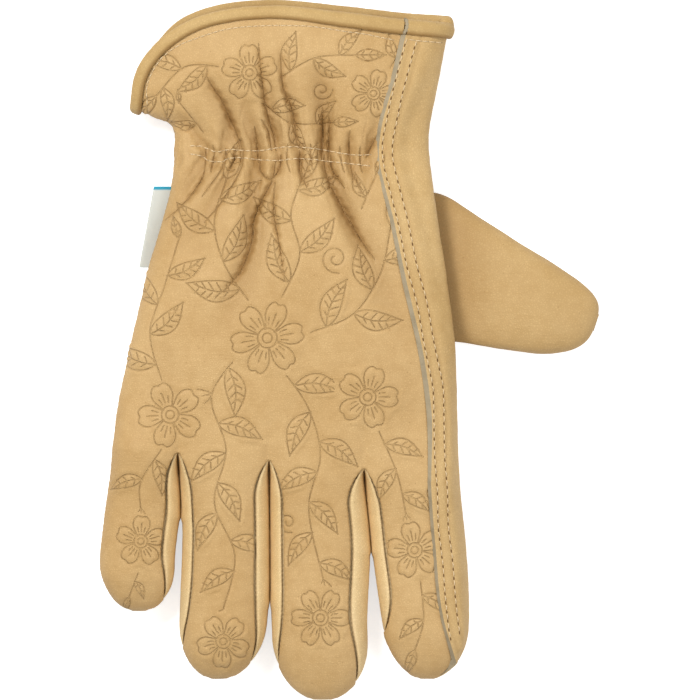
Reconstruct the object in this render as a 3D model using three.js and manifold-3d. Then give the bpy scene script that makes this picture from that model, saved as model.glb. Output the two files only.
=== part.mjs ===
// A leather driver glove for the right hand, lying on its palm.
// Lengths are in millimetres: +Z is up out of the back of the hand, +Y runs from the fingers to the
// cuff, and +X points to the thumb. The origin is under the palm, where the glove rests.
//
// Every panel is a sheet of leather between two skins. A skin is worked out at a depth under the
// glove's outer surface, so panels that meet share the same mitred edge, less a small gap.
import * as THREE from "three";
import { mergeVertices } from "three/addons/utils/BufferGeometryUtils.js";
import Module from "manifold-3d";

const wasm = await Module();
wasm.setup();

// Leather and seams
const WALL = 1.2;
const GAP = 0.3;
const LAP_WIDTH = 6.5;
const LAP_RISE = WALL + GAP;
const LAP_BLEND = 3;
const LAP_ENDS = [0.76, 0.88];
const LAP_LIMIT = 0.82;
const LAP_EDGE = 0.12;
const LAP_ROOM = 0.5;

// How full the sections are: exponents of their superelliptic outlines
const HAND_FULLNESS = 2.6;
const FINGER_FULLNESS = 2.4;
const PALM_SAG = 3;
const CROTCH_DROP = 0.2;
const CROTCH_FULLNESS = 2.2;
const CROTCH_REACH = 1.1;
const FINGER_ROUNDS_BY = 0.22;

// Sections across the hand, from the line of the finger crotches (0) to the cuff's rim (9). The
// side lines are at left and right; top is the back's height and floor the palm's. lap is the
// place of the overlapped seam's raw edge, as a share of the way across.
const SECTIONS = [
  { left: [-80.7, -33.3, 9.5], right: [37.2, -43.5, 10], top: 23, floor: 0, lap: 0.914 },
  { left: [-78.6, -17.0, 10], right: [36.5, -22.1, 11], top: 24, floor: 0, lap: 0.913 },
  { left: [-74.2, 3.4, 10], right: [35.8, 0.0, 15], top: 26, floor: 0, lap: 0.887 },
  { left: [-69.0, 25.5, 10], right: [33.0, 22.8, 17], top: 27, floor: 0, lap: 0.854 },
  { left: [-63.6, 44.9, 10], right: [29.9, 43.5, 17], top: 26, floor: 0, lap: 0.829 },
  { left: [-60.5, 57.8, 10], right: [28.1, 56.4, 15], top: 24, floor: 0, lap: 0.803 },
  { left: [-59.8, 67.3, 9.5], right: [27.2, 64.6, 12], top: 21, floor: 0, lap: 0.791 },
  { left: [-60.4, 75.8, 9.5], right: [27.0, 74.8, 11], top: 21.5, floor: 0, lap: 0.802 },
  { left: [-67.3, 78.6, 10], right: [30.5, 92.0, 11], top: 24, floor: 0.4, lap: 0.85 },
  { left: [-73.2, 82.4, 9], right: [33.5, 109.0, 11], top: 22, floor: 1.7, lap: 0.88 },
];
const RIM_SECTION = SECTIONS.length - 1;
const FLARE_SECTION = RIM_SECTION - 2;

// The cuff's rim seen from above, from the little finger's side to the thumb's
const RIM = [
  { x: -73.2, y: 82.4 },
  { x: -71.2, y: 93.4 },
  { x: -64.4, y: 102.8 },
  { x: -51.0, y: 111.0 },
  { x: -28.9, y: 114.6 },
  { x: -2.0, y: 112.4 },
  { x: 17.7, y: 110.2 },
  { x: 33.5, y: 109.0 },
];
const PALM_RIM_STEP = 2.4;
const PALM_RIM_FROM = -68;
const PALM_RIM_RUN = 12;

// Fingers. left and right are the side lines at the crotch, a third, two thirds and the tip's
// virtual corner; top is the height there. tip is where the finger ends and round is how much of it
// is the round end. seams are how far the back's edge lies in from each side line, and closes are
// how far along the finger it comes back to that line.
const FINGERS = [
  {
    name: "little",
    left: [-80.7, -82.9, -85.1, -84.2],
    right: [-58.7, -57.6, -59.5, -59.2],
    top: [23, 19, 18, 16.5],
    tip: -88.7,
    round: 15.6,
    seams: [0, 4.6],
    closes: [0, 0.93],
  },
  {
    name: "ring",
    left: [-58.3, -57.0, -57.8, -58.6],
    right: [-27.7, -27.4, -27.7, -30.2],
    top: [23, 20.5, 19.5, 18],
    tip: -111.7,
    round: 18,
    seams: [3.8, 4.8],
    closes: [0.86, 0.93],
  },
  {
    name: "middle",
    left: [-27.3, -27.1, -26.7, -25.6],
    right: [4.6, 6.8, 5.9, 6.9],
    top: [23, 21, 20, 18],
    tip: -118.8,
    round: 20.4,
    seams: [4.1, 6.2],
    closes: [0.86, 0.93],
  },
  {
    name: "index",
    left: [5.0, 7.1, 10.2, 13.2],
    right: [37.2, 39.5, 40.6, 39.4],
    top: [23, 20.5, 19.5, 18],
    tip: -111.7,
    round: 17,
    seams: [4.5, 0],
    closes: [0.78, 0],
    lap: [0.36, 0.325, 0.367, 0.75],
  },
];
const FINGER_SIDE_HEIGHT = 8.5;
const TIP_NARROWS_TO = 0.24;
const LEAST_WIDTH = 0.2;
const FINGER_SPANS = 3;
const SEAM_OPENS_OVER = 14;
const SEAM_CLOSES_FROM = 0.5;
const SEAM_CLOSING = 2.5;
const FOURCHETTE_POINT = 0.8;
const FOURCHETTE_PUFF = 0.8;
const MOST_TRIM = 0.35;

// Gathers of the shirred wrist. Each is a valley that crosses the elastic at x and runs away from
// it, up towards the cuff and down towards the fingers, drifting sideways as it goes.
const ELASTIC = { y: 66, slope: -0.03 };
const GATHER_FADE = 0.8;
const GATHERS = [
  { x: -48.5, depth: 1.6, width: 2.4, up: 12, upDrift: -9, down: 22, downDrift: -12 },
  { x: -42.5, depth: 1.6, width: 2.2, up: 22, upDrift: 3, down: 18, downDrift: -13 },
  { x: -37.0, depth: 1.9, width: 2.2, up: 10, upDrift: -3, down: 26, downDrift: -14 },
  { x: -30.9, depth: 2.6, width: 2.6, up: 24, upDrift: -7, down: 40, downDrift: -6 },
  { x: -24.0, depth: 1.8, width: 2.4, up: 32, upDrift: -6, down: 14, downDrift: -1 },
  { x: -17.2, depth: 2.0, width: 2.4, up: 36, upDrift: -6, down: 16, downDrift: 4 },
  { x: -8.6, depth: 2.6, width: 2.8, up: 30, upDrift: 0, down: 46, downDrift: 17 },
  { x: 0.0, depth: 1.5, width: 2.2, up: 8, upDrift: 1, down: 14, downDrift: 3 },
  { x: 5.6, depth: 1.4, width: 2.2, up: 18, upDrift: 6, down: 12, downDrift: 0 },
];

// The thumb, which lies under the edge of the hand. Each section runs from the near side to the
// far side of the thumb seen from above; the first ones are inside the hand.
const THUMB = [
  { near: [5.0, 4.4], far: [4.0, 53.0], top: 11.5 },
  { near: [22.0, 3.2], far: [20.0, 53.4], top: 11.0 },
  { near: [36.0, 2.6], far: [32.0, 52.6], top: 10.8 },
  { near: [52.0, 0.2], far: [49.0, 42.0], top: 12.4 },
  { near: [66.0, -1.6], far: [66.0, 31.6], top: 13.6 },
  { near: [79.8, -3.0], far: [87.8, 21.6], top: 12.6 },
];
const THUMB_WALL = 1.3;
const THUMB_ROUND = 1.25;
const THUMB_FULLNESS = 2.3;
const THUMB_END = 0.985;
const THUMB_SIDE_HEIGHT = 5.5;
const THUMB_OPENS_AT = 0.25;
const THUMB_MEETS = { from: 0.5, to: 6 };
const THUMB_RAMP = { from: 9, to: 30, height: 12.6, low: -9, high: 67, soft: 15 };

// The rolled binding of the cuff and the label in the side seam
const ROLL_RADIUS = 2.3;
const ROLL_SLOT = WALL / 2 + GAP;
const ROLL_SKIRT = 5.5;
const ROLL_LIP = 1.9;
const ROLL_FROM = RIM_SECTION - 0.15;
const JOIN = 0.003;
const LABEL = { from: [-66.7, 55.6], to: [-71.7, 28.0], thick: 1.0, height: 10, seam: [2, 6] };

// How finely each sheet is divided
const ROOT_ROWS = [0, 0.4, 0.9, 1.5, 2.2, 2.9, 3.5, 4, 4.4, 4.8, 5.2, 5.6, 6];
const CUFF_ROWS = [6.4, 6.9, 7.6, 8.3, 9];
const HAND_ROWS = [...ROOT_ROWS, ...CUFF_ROWS];
const RIM_ROWS = [8.3, 9, 9.04];
const FINGER_ROWS = [0, 0.04, 0.12, 0.27, 0.45, 0.63, 0.78, 0.86, 0.93, 0.975, 1];
const BACK_COLUMNS = 9;
const PALM_COLUMNS = 4;
const WRAP_COLUMNS = 7;
const FOURCHETTE_COLUMNS = 4;
const THUMB_ROWS = 11;
const THUMB_COLUMNS = 18;
const BINDING_STEPS = { back: 14, lap: 4, palmNear: 6, palmFar: 8 };

const lerp = THREE.MathUtils.lerp;
const clamp = THREE.MathUtils.clamp;
const smooth = (x) => THREE.MathUtils.smoothstep(x, 0, 1);

// The value of a smooth curve through a list of numbers, at a place counted in entries.
function along(values, place) {
  const last = values.length - 1;
  const i = clamp(Math.floor(place), 0, last - 1);
  const t = place - i;
  const [a, b, c, d] = [i - 1, i, i + 1, i + 2].map((n) => values[clamp(n, 0, last)]);
  const slopes = [(c - a) / 2, (d - b) / 2];
  return (
    b + slopes[0] * t + (3 * (c - b) - 2 * slopes[0] - slopes[1]) * t * t +
    (2 * (b - c) + slopes[0] + slopes[1]) * t * t * t
  );
}

const column = (name, axis) => SECTIONS.map((s) => (axis === undefined ? s[name] : s[name][axis]));
const LEFT = [0, 1, 2].map((axis) => column("left", axis));
const RIGHT = [0, 1, 2].map((axis) => column("right", axis));
const TOP = column("top");
const FLOOR = column("floor");
const LAP = column("lap");

const rimCurve = new THREE.CatmullRomCurve3(
  RIM.map((p) => new THREE.Vector3(p.x, p.y, 0)), false, "centripetal",
);

// The place in plan of a numbered section, u of the way across the hand.
function sectionPlan(k, u) {
  const straight = Math.min(k, FLARE_SECTION);
  const line = [0, 1].map((axis) => lerp(LEFT[axis][straight], RIGHT[axis][straight], u));
  const share = (k - straight) / (RIM_SECTION - FLARE_SECTION);
  const rim = rimCurve.getPointAt(clamp(u, 0, 1));
  return [lerp(line[0], rim.x, share), lerp(line[1], rim.y, share)];
}

function handPlan(k, u) {
  const near = [-1, 0, 1, 2].map((n) => clamp(Math.floor(k) + n, 0, RIM_SECTION));
  const points = near.map((n) => sectionPlan(n, u));
  return [0, 1].map((axis) => along(points.map((p) => p[axis]), 1 + k - Math.floor(k)));
}

const superellipse = (s, fullness) => Math.max(0, 1 - Math.abs(s) ** fullness) ** (1 / fullness);

// How far each finger's side lines lie across the hand, as shares of its width at the crotches.
const handWidth = RIGHT[0][0] - LEFT[0][0];
for (const finger of FINGERS) {
  const shares = [finger.left[0], finger.right[0]].map((x) => (x - LEFT[0][0]) / handWidth);
  finger.middleShare = (shares[0] + shares[1]) / 2;
  finger.halfShare = (shares[1] - shares[0]) / 2;
  finger.length = handPlan(0, finger.middleShare)[1] - finger.tip;
}

// 1 at the line of the crotches, where a hand section is made of four fingers, and 0 past it.
const fingersShow = (k) => 1 - smooth(k / CROTCH_REACH);

// A finger's outline over its own width, f of the way to its tip. A side with no fourchette is
// round from the start; one with a fourchette starts as a web and rounds off.
function fingerProfile(finger, s, f) {
  const round = superellipse(s, FINGER_FULLNESS);
  if (finger.seams[s < 0 ? 0 : 1] === 0) return round;
  const web = 1 - CROTCH_DROP * Math.abs(s) ** CROTCH_FULLNESS;
  return lerp(web, round, smooth(f / FINGER_ROUNDS_BY));
}

// The height of a skin point: the back above its side line, or the palm below it, flat where it
// rests. share is the outline's share of the full height.
function skinHeight(side, share, sideHeight, top, floor, depth) {
  if (side > 0) {
    const base = sideHeight + GAP / 2;
    return base + (top - depth - base) * share;
  }
  const base = sideHeight - GAP / 2;
  return Math.max(base - (base - floor + PALM_SAG - depth) * share, Math.min(floor + depth, base));
}

function gatherDepth(x, y) {
  const elastic = ELASTIC.y + ELASTIC.slope * x;
  let sum = 0;
  for (const g of GATHERS) {
    const above = y > elastic;
    const reach = Math.abs(y - elastic) / (above ? g.up : g.down);
    const drift = (above ? g.upDrift : g.downDrift) * reach;
    sum += g.depth * Math.exp(-(((x - g.x - drift) / g.width) ** 2)) * (1 - smooth(reach * GATHER_FADE));
  }
  return sum;
}

// The underside is raised where the thumb lies beneath it.
function thumbRamp(x, y) {
  const r = THUMB_RAMP;
  const window = smooth((y - r.low) / r.soft) * smooth((r.high - y) / r.soft);
  return r.height * smooth((x - r.from) / (r.to - r.from)) * window;
}

// The palm's rim stands further out than the back's, except at the little finger's side.
const palmRimShare = (x, k) =>
  smooth((k - FLARE_SECTION) / (RIM_SECTION - FLARE_SECTION)) *
  smooth((x - PALM_RIM_FROM) / PALM_RIM_RUN);

// A point of the hand: s runs from -1 to 1 across one finger's share of section k.
function handPoint(finger, s, k, side, depth) {
  const u = finger.middleShare + finger.halfShare * s;
  const whole = 2 * u - 1;
  const fingers = fingersShow(k);
  let [x, y] = handPlan(k, u);
  const palmRim = side < 0 ? palmRimShare(x, k) : 0;
  y += fingers * depth + PALM_RIM_STEP * palmRim;
  x -= lerp(whole, s, fingers) * depth;
  const sideHeight = lerp(along(LEFT[2], k), along(RIGHT[2], k), u);
  const share = lerp(superellipse(whole, HAND_FULLNESS), fingerProfile(finger, s, 0), fingers);
  let z = skinHeight(side, share, sideHeight, along(TOP, k), Math.max(0, along(FLOOR, k)), depth);
  if (side > 0) z -= gatherDepth(x, y) * smooth(share * 2);
  else z = Math.max(z, Math.min(thumbRamp(x, y) + depth, sideHeight - GAP / 2));
  return [x, y, z];
}

// Half the width of a finger's straight part and of its rounded outline, and its middle.
function fingerWidths(finger, f) {
  const left = along(finger.left, f * FINGER_SPANS);
  const right = along(finger.right, f * FINGER_SPANS);
  const roundFrom = 1 - finger.round / finger.length;
  const tau = clamp((f - roundFrom) / (1 - roundFrom), 0, 1);
  const straight = (right - left) / 2;
  const narrows = Math.sqrt(1 - (1 - TIP_NARROWS_TO ** 2) * tau ** 2);
  return {
    middle: (left + right) / 2,
    straight,
    half: straight * narrows,
    rise: Math.sqrt(1 - tau ** 2),
  };
}

function fingerPoint(finger, s, f, side, depth) {
  const { middle, half, rise } = fingerWidths(finger, f);
  const u = finger.middleShare + finger.halfShare * s;
  const root = handPlan(0, u)[1];
  const rootHeight = lerp(LEFT[2][0], RIGHT[2][0], u);
  const sideHeight = lerp(rootHeight, FINGER_SIDE_HEIGHT, smooth(f * FINGER_SPANS));
  const x = middle + s * Math.max(half - depth, half * LEAST_WIDTH);
  const y = lerp(root, finger.tip, f) + depth;
  const share = fingerProfile(finger, s, f) * rise;
  return [x, y, skinHeight(side, share, sideHeight, along(finger.top, f * FINGER_SPANS), 0, depth)];
}

// A place along the glove is positive in the hand, in sections, and negative in a finger, as a
// share of its length.
const skinPoint = (finger, s, place, side, depth) =>
  place < 0
    ? fingerPoint(finger, s, -place, side, depth)
    : handPoint(finger, s, place, side, depth);

// How far across its own half a finger's back and palm reach before the fourchette takes over.
function seamShare(finger, sideIndex, f) {
  const inset = finger.seams[sideIndex];
  const end = finger.closes[sideIndex];
  if (f >= end) return 1;
  const opens = 1 - (1 - clamp((f * finger.length) / SEAM_OPENS_OVER, 0, 1)) ** 2;
  const closing = clamp((f - SEAM_CLOSES_FROM) / (end - SEAM_CLOSES_FROM), 0, 1);
  const closes = 1 - closing ** SEAM_CLOSING;
  return 1 - (inset * opens * closes) / fingerWidths(finger, f).half;
}

// The overlapped seam, as a share of the index finger's half width: its raw edge on top, and the
// edge of the back panel hidden under it.
const indexFinger = FINGERS[3];
function lapShares(place) {
  const inHand = place >= 0;
  const half = inHand
    ? (RIGHT[0][0] - LEFT[0][0]) * indexFinger.halfShare
    : fingerWidths(indexFinger, -place).half;
  const raw = inHand
    ? (along(LAP, place) - indexFinger.middleShare) / indexFinger.halfShare
    : (along(indexFinger.lap, -place * FINGER_SPANS) * fingerWidths(indexFinger, -place).straight) / half;
  const edge = Math.min(raw, LAP_LIMIT);
  const under = lerp(LAP_WIDTH, -GAP, smooth((-place - LAP_ENDS[0]) / (LAP_ENDS[1] - LAP_ENDS[0])));
  const rise = LAP_RISE * (1 - smooth((-place - LAP_ENDS[1]) / (1 - LAP_ENDS[1])));
  return { raw: edge, hidden: Math.min(edge + under / half, lerp(edge, 1, LAP_ROOM)), half, rise };
}

// Closed leather between two skins. outer and inner are matching lists of points and quads are
// index lists; the open edges are closed with walls.
function sheet(outer, inner, quads) {
  const count = outer.length;
  const triangles = [];
  const addQuad = (a, b, c, d) => triangles.push(a, b, c, a, c, d);
  const edges = new Set();
  for (const q of quads) q.forEach((a, i) => edges.add(a * count + q[(i + 1) % 4]));
  for (const [a, b, c, d] of quads) {
    addQuad(a, b, c, d);
    triangles.push(d + count, c + count, a + count, c + count, b + count, a + count);
    for (const [p, q] of [[a, b], [b, c], [c, d], [d, a]]) {
      if (!edges.has(q * count + p)) addQuad(q, p, p + count, q + count);
    }
  }
  const geometry = new THREE.BufferGeometry();
  const points = [...outer, ...inner].flat();
  geometry.setAttribute("position", new THREE.Float32BufferAttribute(points, 3));
  geometry.setIndex(triangles);
  return facingOut(geometry);
}

// Turns a closed geometry's faces round if they point inwards.
function facingOut(geometry) {
  const p = geometry.attributes.position;
  const index = geometry.index.array;
  const corner = [0, 1, 2].map(() => new THREE.Vector3());
  let volume = 0;
  for (let i = 0; i < index.length; i += 3) {
    corner.forEach((c, n) => c.fromBufferAttribute(p, index[i + n]));
    volume += corner[0].dot(corner[1].clone().cross(corner[2]));
  }
  if (volume < 0) geometry.setIndex(Array.from(index).reverse());
  return geometry;
}

// Collects the points of one sheet, a row at a time, for both of its skins.
class SheetBuilder {
  outer = [];
  inner = [];
  quads = [];

  constructor(spare = 0) {
    this.depths = [-spare, WALL + spare];
  }

  row(places, pointAt) {
    const ids = [];
    for (const place of places) {
      ids.push(this.outer.length);
      this.outer.push(pointAt(place, this.depths[0]));
      this.inner.push(pointAt(place, this.depths[1]));
    }
    return ids;
  }

  join(rowA, rowB) {
    for (let i = 1; i < rowA.length; i++) {
      this.quads.push([rowA[i - 1], rowA[i], rowB[i], rowB[i - 1]]);
    }
  }

  build = () => sheet(this.outer, this.inner, this.quads);
}

// Even steps from one value to another; leaning ones crowd towards the first value.
const steps = (from, to, count) =>
  Array.from({ length: count + 1 }, (_, i) => lerp(from, to, i / count));
const leaning = (from, to, count) =>
  steps(0, 1, count).map((t) => lerp(from, to, 1 - Math.cos((t * Math.PI) / 2)));

// The columns of one finger's share of the back or the palm at a place along it.
function panelColumns(finger, place, side, count) {
  const f = Math.max(0, -place);
  const from = -seamShare(finger, 0, f);
  const to = side > 0 && finger === indexFinger ? lapShares(place).hidden : seamShare(finger, 1, f);
  if (finger.seams[0] === 0) return leaning(from, to, count);
  if (side < 0 && finger.seams[1] === 0) return leaning(to, from, count).reverse();
  return steps(from, to, count);
}

// The wrap of the palm panel round the thumb side: up from the side line and over the back panel
// to the raw edge of the overlapped seam. Where nothing lies under it, its last columns keep a strip.
function wrapColumns(place) {
  const { raw, hidden } = lapShares(place);
  const bare = WRAP_COLUMNS - 3;
  const turn = Math.max(hidden, lerp(raw, 1, LAP_EDGE));
  return [...leaning(1, turn, bare), (2 * turn + raw) / 3, (turn + 2 * raw) / 3, raw];
}

// How far the wrap stands above the back panel's level where it overlaps it.
function wrapLift(s, place) {
  const { hidden, half, rise } = lapShares(place);
  return rise * (1 - smooth(((s - hidden) * half - GAP) / LAP_BLEND));
}

const wrapPoint = (s, place, depth) =>
  skinPoint(indexFinger, s, place, 1, depth - wrapLift(s, place));

// One row of points across a finger's share of the back or palm panel.
function panelRow(build, finger, place, side, count) {
  const columns = panelColumns(finger, place, side, count);
  const row = build.row(columns, (s, depth) => skinPoint(finger, s, place, side, depth));
  if (side > 0 || finger !== indexFinger) return row;
  return [...row, ...build.row(wrapColumns(place), (s, depth) => wrapPoint(s, place, depth))];
}

function joinHandRows(build, places, side, count) {
  const rows = places.map((k) => FINGERS.map((finger) => panelRow(build, finger, k, side, count)));
  for (let r = 1; r < rows.length; r++) build.join(rows[r - 1].flat(), rows[r].flat());
  return rows;
}

// The panel's last rows with room round them, to cut the binding's slot.
function rimBand(side, count) {
  const build = new SheetBuilder(GAP);
  joinHandRows(build, RIM_ROWS, side, count);
  return toSolid(build.build());
}

// The whole back or palm panel: rows across the hand, then rows down each finger.
function panel(side, count) {
  const build = new SheetBuilder();
  const rowAt = (finger, place) => panelRow(build, finger, place, side, count);
  const handRows = joinHandRows(build, HAND_ROWS, side, count);
  FINGERS.forEach((finger, n) => {
    let last = handRows[0][n];
    for (const f of FINGER_ROWS.slice(1)) {
      const row = rowAt(finger, -f);
      build.join(row, last);
      last = row;
    }
  });
  return build.build();
}

// A point of a fourchette's wall on one side of a finger: across runs from the back's seam at 0
// to the palm's seam at 1, puffing out to the finger's side line between them.
function fourchettePoint(finger, sideIndex, f, across, depth) {
  const sign = sideIndex === 0 ? -1 : 1;
  const seam = seamShare(finger, sideIndex, f);
  const back = skinPoint(finger, sign * seam, -f, 1, depth);
  const palm = skinPoint(finger, sign * seam, -f, -1, depth);
  const outer = skinPoint(finger, sign, -f, 1, depth);
  const puff = Math.sin(Math.PI * across) ** FOURCHETTE_PUFF;
  return [
    lerp(lerp(back[0], palm[0], across), outer[0], puff),
    lerp(back[1], palm[1], across),
    lerp(back[2], palm[2], across),
  ];
}

// The strip between two fingers: down one finger's side, round the crotch and down the next's. Its
// pointed ends lie part of the way to the row where each seam closes.
function fourchette(n) {
  const build = new SheetBuilder();
  const addRow = (finger, sideIndex, f, next = f, share = 0) => {
    const pointAt = (across, depth) => {
      const here = fourchettePoint(finger, sideIndex, f, across, depth);
      const there = fourchettePoint(finger, sideIndex, next, across, depth);
      return here.map((value, axis) => lerp(value, there[axis], share));
    };
    const trim = Math.min(MOST_TRIM, GAP / (pointAt(0, 0)[2] - pointAt(1, 0)[2]));
    return build.row(steps(trim, 1 - trim, FOURCHETTE_COLUMNS), pointAt);
  };
  const rowsDown = (finger, sideIndex) => {
    const count = FINGER_ROWS.findIndex((f) => f >= finger.closes[sideIndex]);
    const rows = FINGER_ROWS.slice(0, count).map((f) => [finger, sideIndex, f]);
    const [last, end] = [FINGER_ROWS[count - 1], FINGER_ROWS[count]];
    return [...rows, [finger, sideIndex, last, end, FOURCHETTE_POINT]];
  };
  const places = [...rowsDown(FINGERS[n], 1).reverse(), ...rowsDown(FINGERS[n + 1], 0)];
  const rows = places.map((place) => addRow(...place));
  for (let r = 1; r < rows.length; r++) build.join(rows[r - 1], rows[r]);
  return build.build();
}

// Booleans on closed geometries
function toSolid(geometry) {
  const bare = new THREE.BufferGeometry();
  bare.setAttribute("position", geometry.attributes.position.clone());
  bare.setIndex(geometry.index.clone());
  const merged = mergeVertices(bare, 1e-4);
  return new wasm.Manifold(
    new wasm.Mesh({
      numProp: 3,
      vertProperties: merged.attributes.position.array,
      triVerts: new Uint32Array(merged.index.array),
    }),
  );
}

function toGeometry(solid) {
  const { numProp, numVert, vertProperties, triVerts } = solid.getMesh();
  const points = [];
  for (let i = 0; i < numVert; i++) {
    points.push(...vertProperties.slice(i * numProp, i * numProp + 3));
  }
  const geometry = new THREE.BufferGeometry();
  geometry.setAttribute("position", new THREE.Float32BufferAttribute(points, 3));
  geometry.setIndex(Array.from(triVerts));
  return geometry;
}

// The triangles between successive rings of points.
function ringWalls(count, size) {
  const triangles = [];
  const at = (r, i) => r * size + (i % size);
  for (let r = 1; r < count; r++) {
    for (let i = 0; i < size; i++) {
      triangles.push(at(r - 1, i), at(r, i), at(r, i + 1));
      triangles.push(at(r - 1, i), at(r, i + 1), at(r - 1, i + 1));
    }
  }
  return triangles;
}

// A closed tube through rings of points, with flat ends.
function tube(rings) {
  const size = rings[0].length;
  const at = (r, i) => r * size + (i % size);
  const triangles = ringWalls(rings.length, size);
  const points = rings.flat();
  const caps = [0, rings.length - 1];
  for (const r of caps) {
    const hub = points.length;
    points.push([0, 1, 2].map((axis) => rings[r].reduce((sum, p) => sum + p[axis], 0) / size));
    for (let i = 0; i < size; i++) {
      triangles.push(...(r === 0 ? [hub, at(r, i), at(r, i + 1)] : [hub, at(r, i + 1), at(r, i)]));
    }
  }
  const geometry = new THREE.BufferGeometry();
  geometry.setAttribute("position", new THREE.Float32BufferAttribute(points.flat(), 3));
  geometry.setIndex(triangles);
  return facingOut(geometry);
}

// A ring of the thumb at a place counted in sections, at a depth under its skin.
function thumbRing(place, depth, count) {
  const last = THUMB.length - 1;
  const roundFrom = last - THUMB_ROUND;
  const tau = clamp((place - roundFrom) / THUMB_ROUND, 0, THUMB_END);
  const round = superellipse(tau, THUMB_FULLNESS);
  const corner = (name, axis) => along(THUMB.map((row) => row[name][axis]), place);
  const near = [corner("near", 0), corner("near", 1)];
  const far = [corner("far", 0), corner("far", 1)];
  const half = Math.hypot(far[0] - near[0], far[1] - near[1]) / 2;
  const top = along(THUMB.map((row) => row.top), place);
  const width = Math.max(half * round - depth, LEAST_WIDTH);
  return steps(0, 2 * Math.PI, count).slice(0, -1).map((angle) => {
    const cos = Math.cos(angle);
    const sin = Math.sin(angle);
    const power = 2 / FINGER_FULLNESS;
    const reach = (Math.sign(cos) * Math.abs(cos) ** power * width) / half;
    const share = Math.abs(sin) ** power * round;
    const height = sin >= 0
      ? THUMB_SIDE_HEIGHT + (top - depth - THUMB_SIDE_HEIGHT) * share
      : Math.max(THUMB_SIDE_HEIGHT - (THUMB_SIDE_HEIGHT + PALM_SAG - depth) * share, depth);
    return [lerp(near[0], far[0], 0.5 + reach / 2), lerp(near[1], far[1], 0.5 + reach / 2), height];
  });
}

function thumbSolid(depth, from, to) {
  const places = leaning(to, from, THUMB_ROWS).reverse();
  return toSolid(tube(places.map((place) => thumbRing(place, depth, THUMB_COLUMNS))));
}

// The hand's skin near the thumb as one closed body, to cut the thumb's root against.
function handBody(depth) {
  const around = (k) => {
    const loop = [];
    for (const side of [-1, 1]) {
      const row = FINGERS.flatMap((finger) =>
        panelColumns(finger, k, -1, PALM_COLUMNS).map((s) => handPoint(finger, s, k, side, depth)));
      loop.push(...(side < 0 ? row : row.reverse()));
    }
    return loop;
  };
  return toSolid(tube(HAND_ROWS.filter((k) => k > THUMB_MEETS.from && k < THUMB_MEETS.to).map(around)));
}

// The rolled binding: a folded strip round the rim, with a skirt inside the cuff. The outline is
// given towards the rim and outwards from the leather's middle; its slot is cut afterwards.
function rollOutline() {
  const arc = steps(90, -90, 5).map((degrees) => {
    const a = THREE.MathUtils.degToRad(degrees);
    return [ROLL_RADIUS * Math.cos(a), ROLL_RADIUS * Math.sin(a)];
  });
  return [[-ROLL_LIP, ROLL_SLOT], ...arc, [-ROLL_SKIRT, -ROLL_SLOT - WALL], [-ROLL_SKIRT, -ROLL_SLOT]];
}

// A place on the rim, from a share across one side of the cuff, and a place further in.
function rimFrame({ u, side }) {
  const s = (u - indexFinger.middleShare) / indexFinger.halfShare;
  const rise = side > 0 && u > SECTIONS[RIM_SECTION].lap ? wrapLift(s, RIM_SECTION) / 2 : 0;
  const pointAt = (k) =>
    new THREE.Vector3(...handPoint(indexFinger, s, k, side, WALL / 2 - rise));
  return { point: pointAt(RIM_SECTION), inward: pointAt(ROLL_FROM) };
}

// The roll stands upright where its two pieces meet in the little finger's side seam.
const UP = new THREE.Vector3(0, 0, 1);

function binding(places) {
  const frames = places.map(rimFrame);
  const outline = rollOutline();
  const rings = frames.map(({ point, inward }, i) => {
    const before = frames[Math.max(0, i - 1)].point;
    const after = frames[Math.min(frames.length - 1, i + 1)].point;
    const tangent = places[i].u === 0 ? UP : after.clone().sub(before).normalize();
    const rimward = point.clone().sub(inward);
    rimward.addScaledVector(tangent, -rimward.dot(tangent)).normalize();
    const outward = rimward.clone().cross(tangent).negate();
    return outline.map(([towards, out]) =>
      point.clone().addScaledVector(rimward, towards).addScaledVector(outward, out).toArray());
  });
  return loft(rings);
}

// A closed body through rings that are not convex: the ends are triangulated as flat shapes.
function loft(rings) {
  const size = rings[0].length;
  const outline = rollOutline().map(([x, y]) => new THREE.Vector2(x, y));
  const cap = THREE.ShapeUtils.triangulateShape(outline, []);
  const at = (r, i) => r * size + (i % size);
  const triangles = ringWalls(rings.length, size);
  const end = rings.length - 1;
  const forward = THREE.ShapeUtils.area(outline) > 0;
  for (const [a, b, c] of cap) {
    triangles.push(...(forward ? [a, b, c] : [c, b, a]));
    triangles.push(...(forward ? [at(end, c), at(end, b), at(end, a)]
      : [at(end, a), at(end, b), at(end, c)]));
  }
  const geometry = new THREE.BufferGeometry();
  geometry.setAttribute("position", new THREE.Float32BufferAttribute(rings.flat(2), 3));
  geometry.setIndex(triangles);
  return facingOut(geometry);
}

// The folded label: it leaves the side seam and ends in a round fold. Where the seam passes a
// given y is found by halving the range of sections.
function label() {
  const halvings = 30;
  const edgeAt = (y) => {
    let [low, high] = LABEL.seam;
    for (let i = 0; i < halvings; i++) {
      const mid = (low + high) / 2;
      if (handPlan(mid, 0)[1] < y) low = mid;
      else high = mid;
    }
    return handPoint(FINGERS[0], -1, low, 1, 0);
  };
  const rings = steps(0, 1, 6).map((share) => {
    const [outer, y] = [0, 1].map((axis) => lerp(LABEL.from[axis], LABEL.to[axis], share));
    const edge = edgeAt(y);
    const half = LABEL.thick / 2;
    const fold = steps(90, 270, 4).map((degrees) => {
      const a = THREE.MathUtils.degToRad(degrees);
      return [outer + half + half * Math.cos(a), y, LABEL.height + half * Math.sin(a)];
    });
    const inner = edge[0] - GAP;
    return [[inner, edge[1], LABEL.height + half], ...fold, [inner, edge[1], LABEL.height - half]];
  });
  return tube(rings);
}

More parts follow.
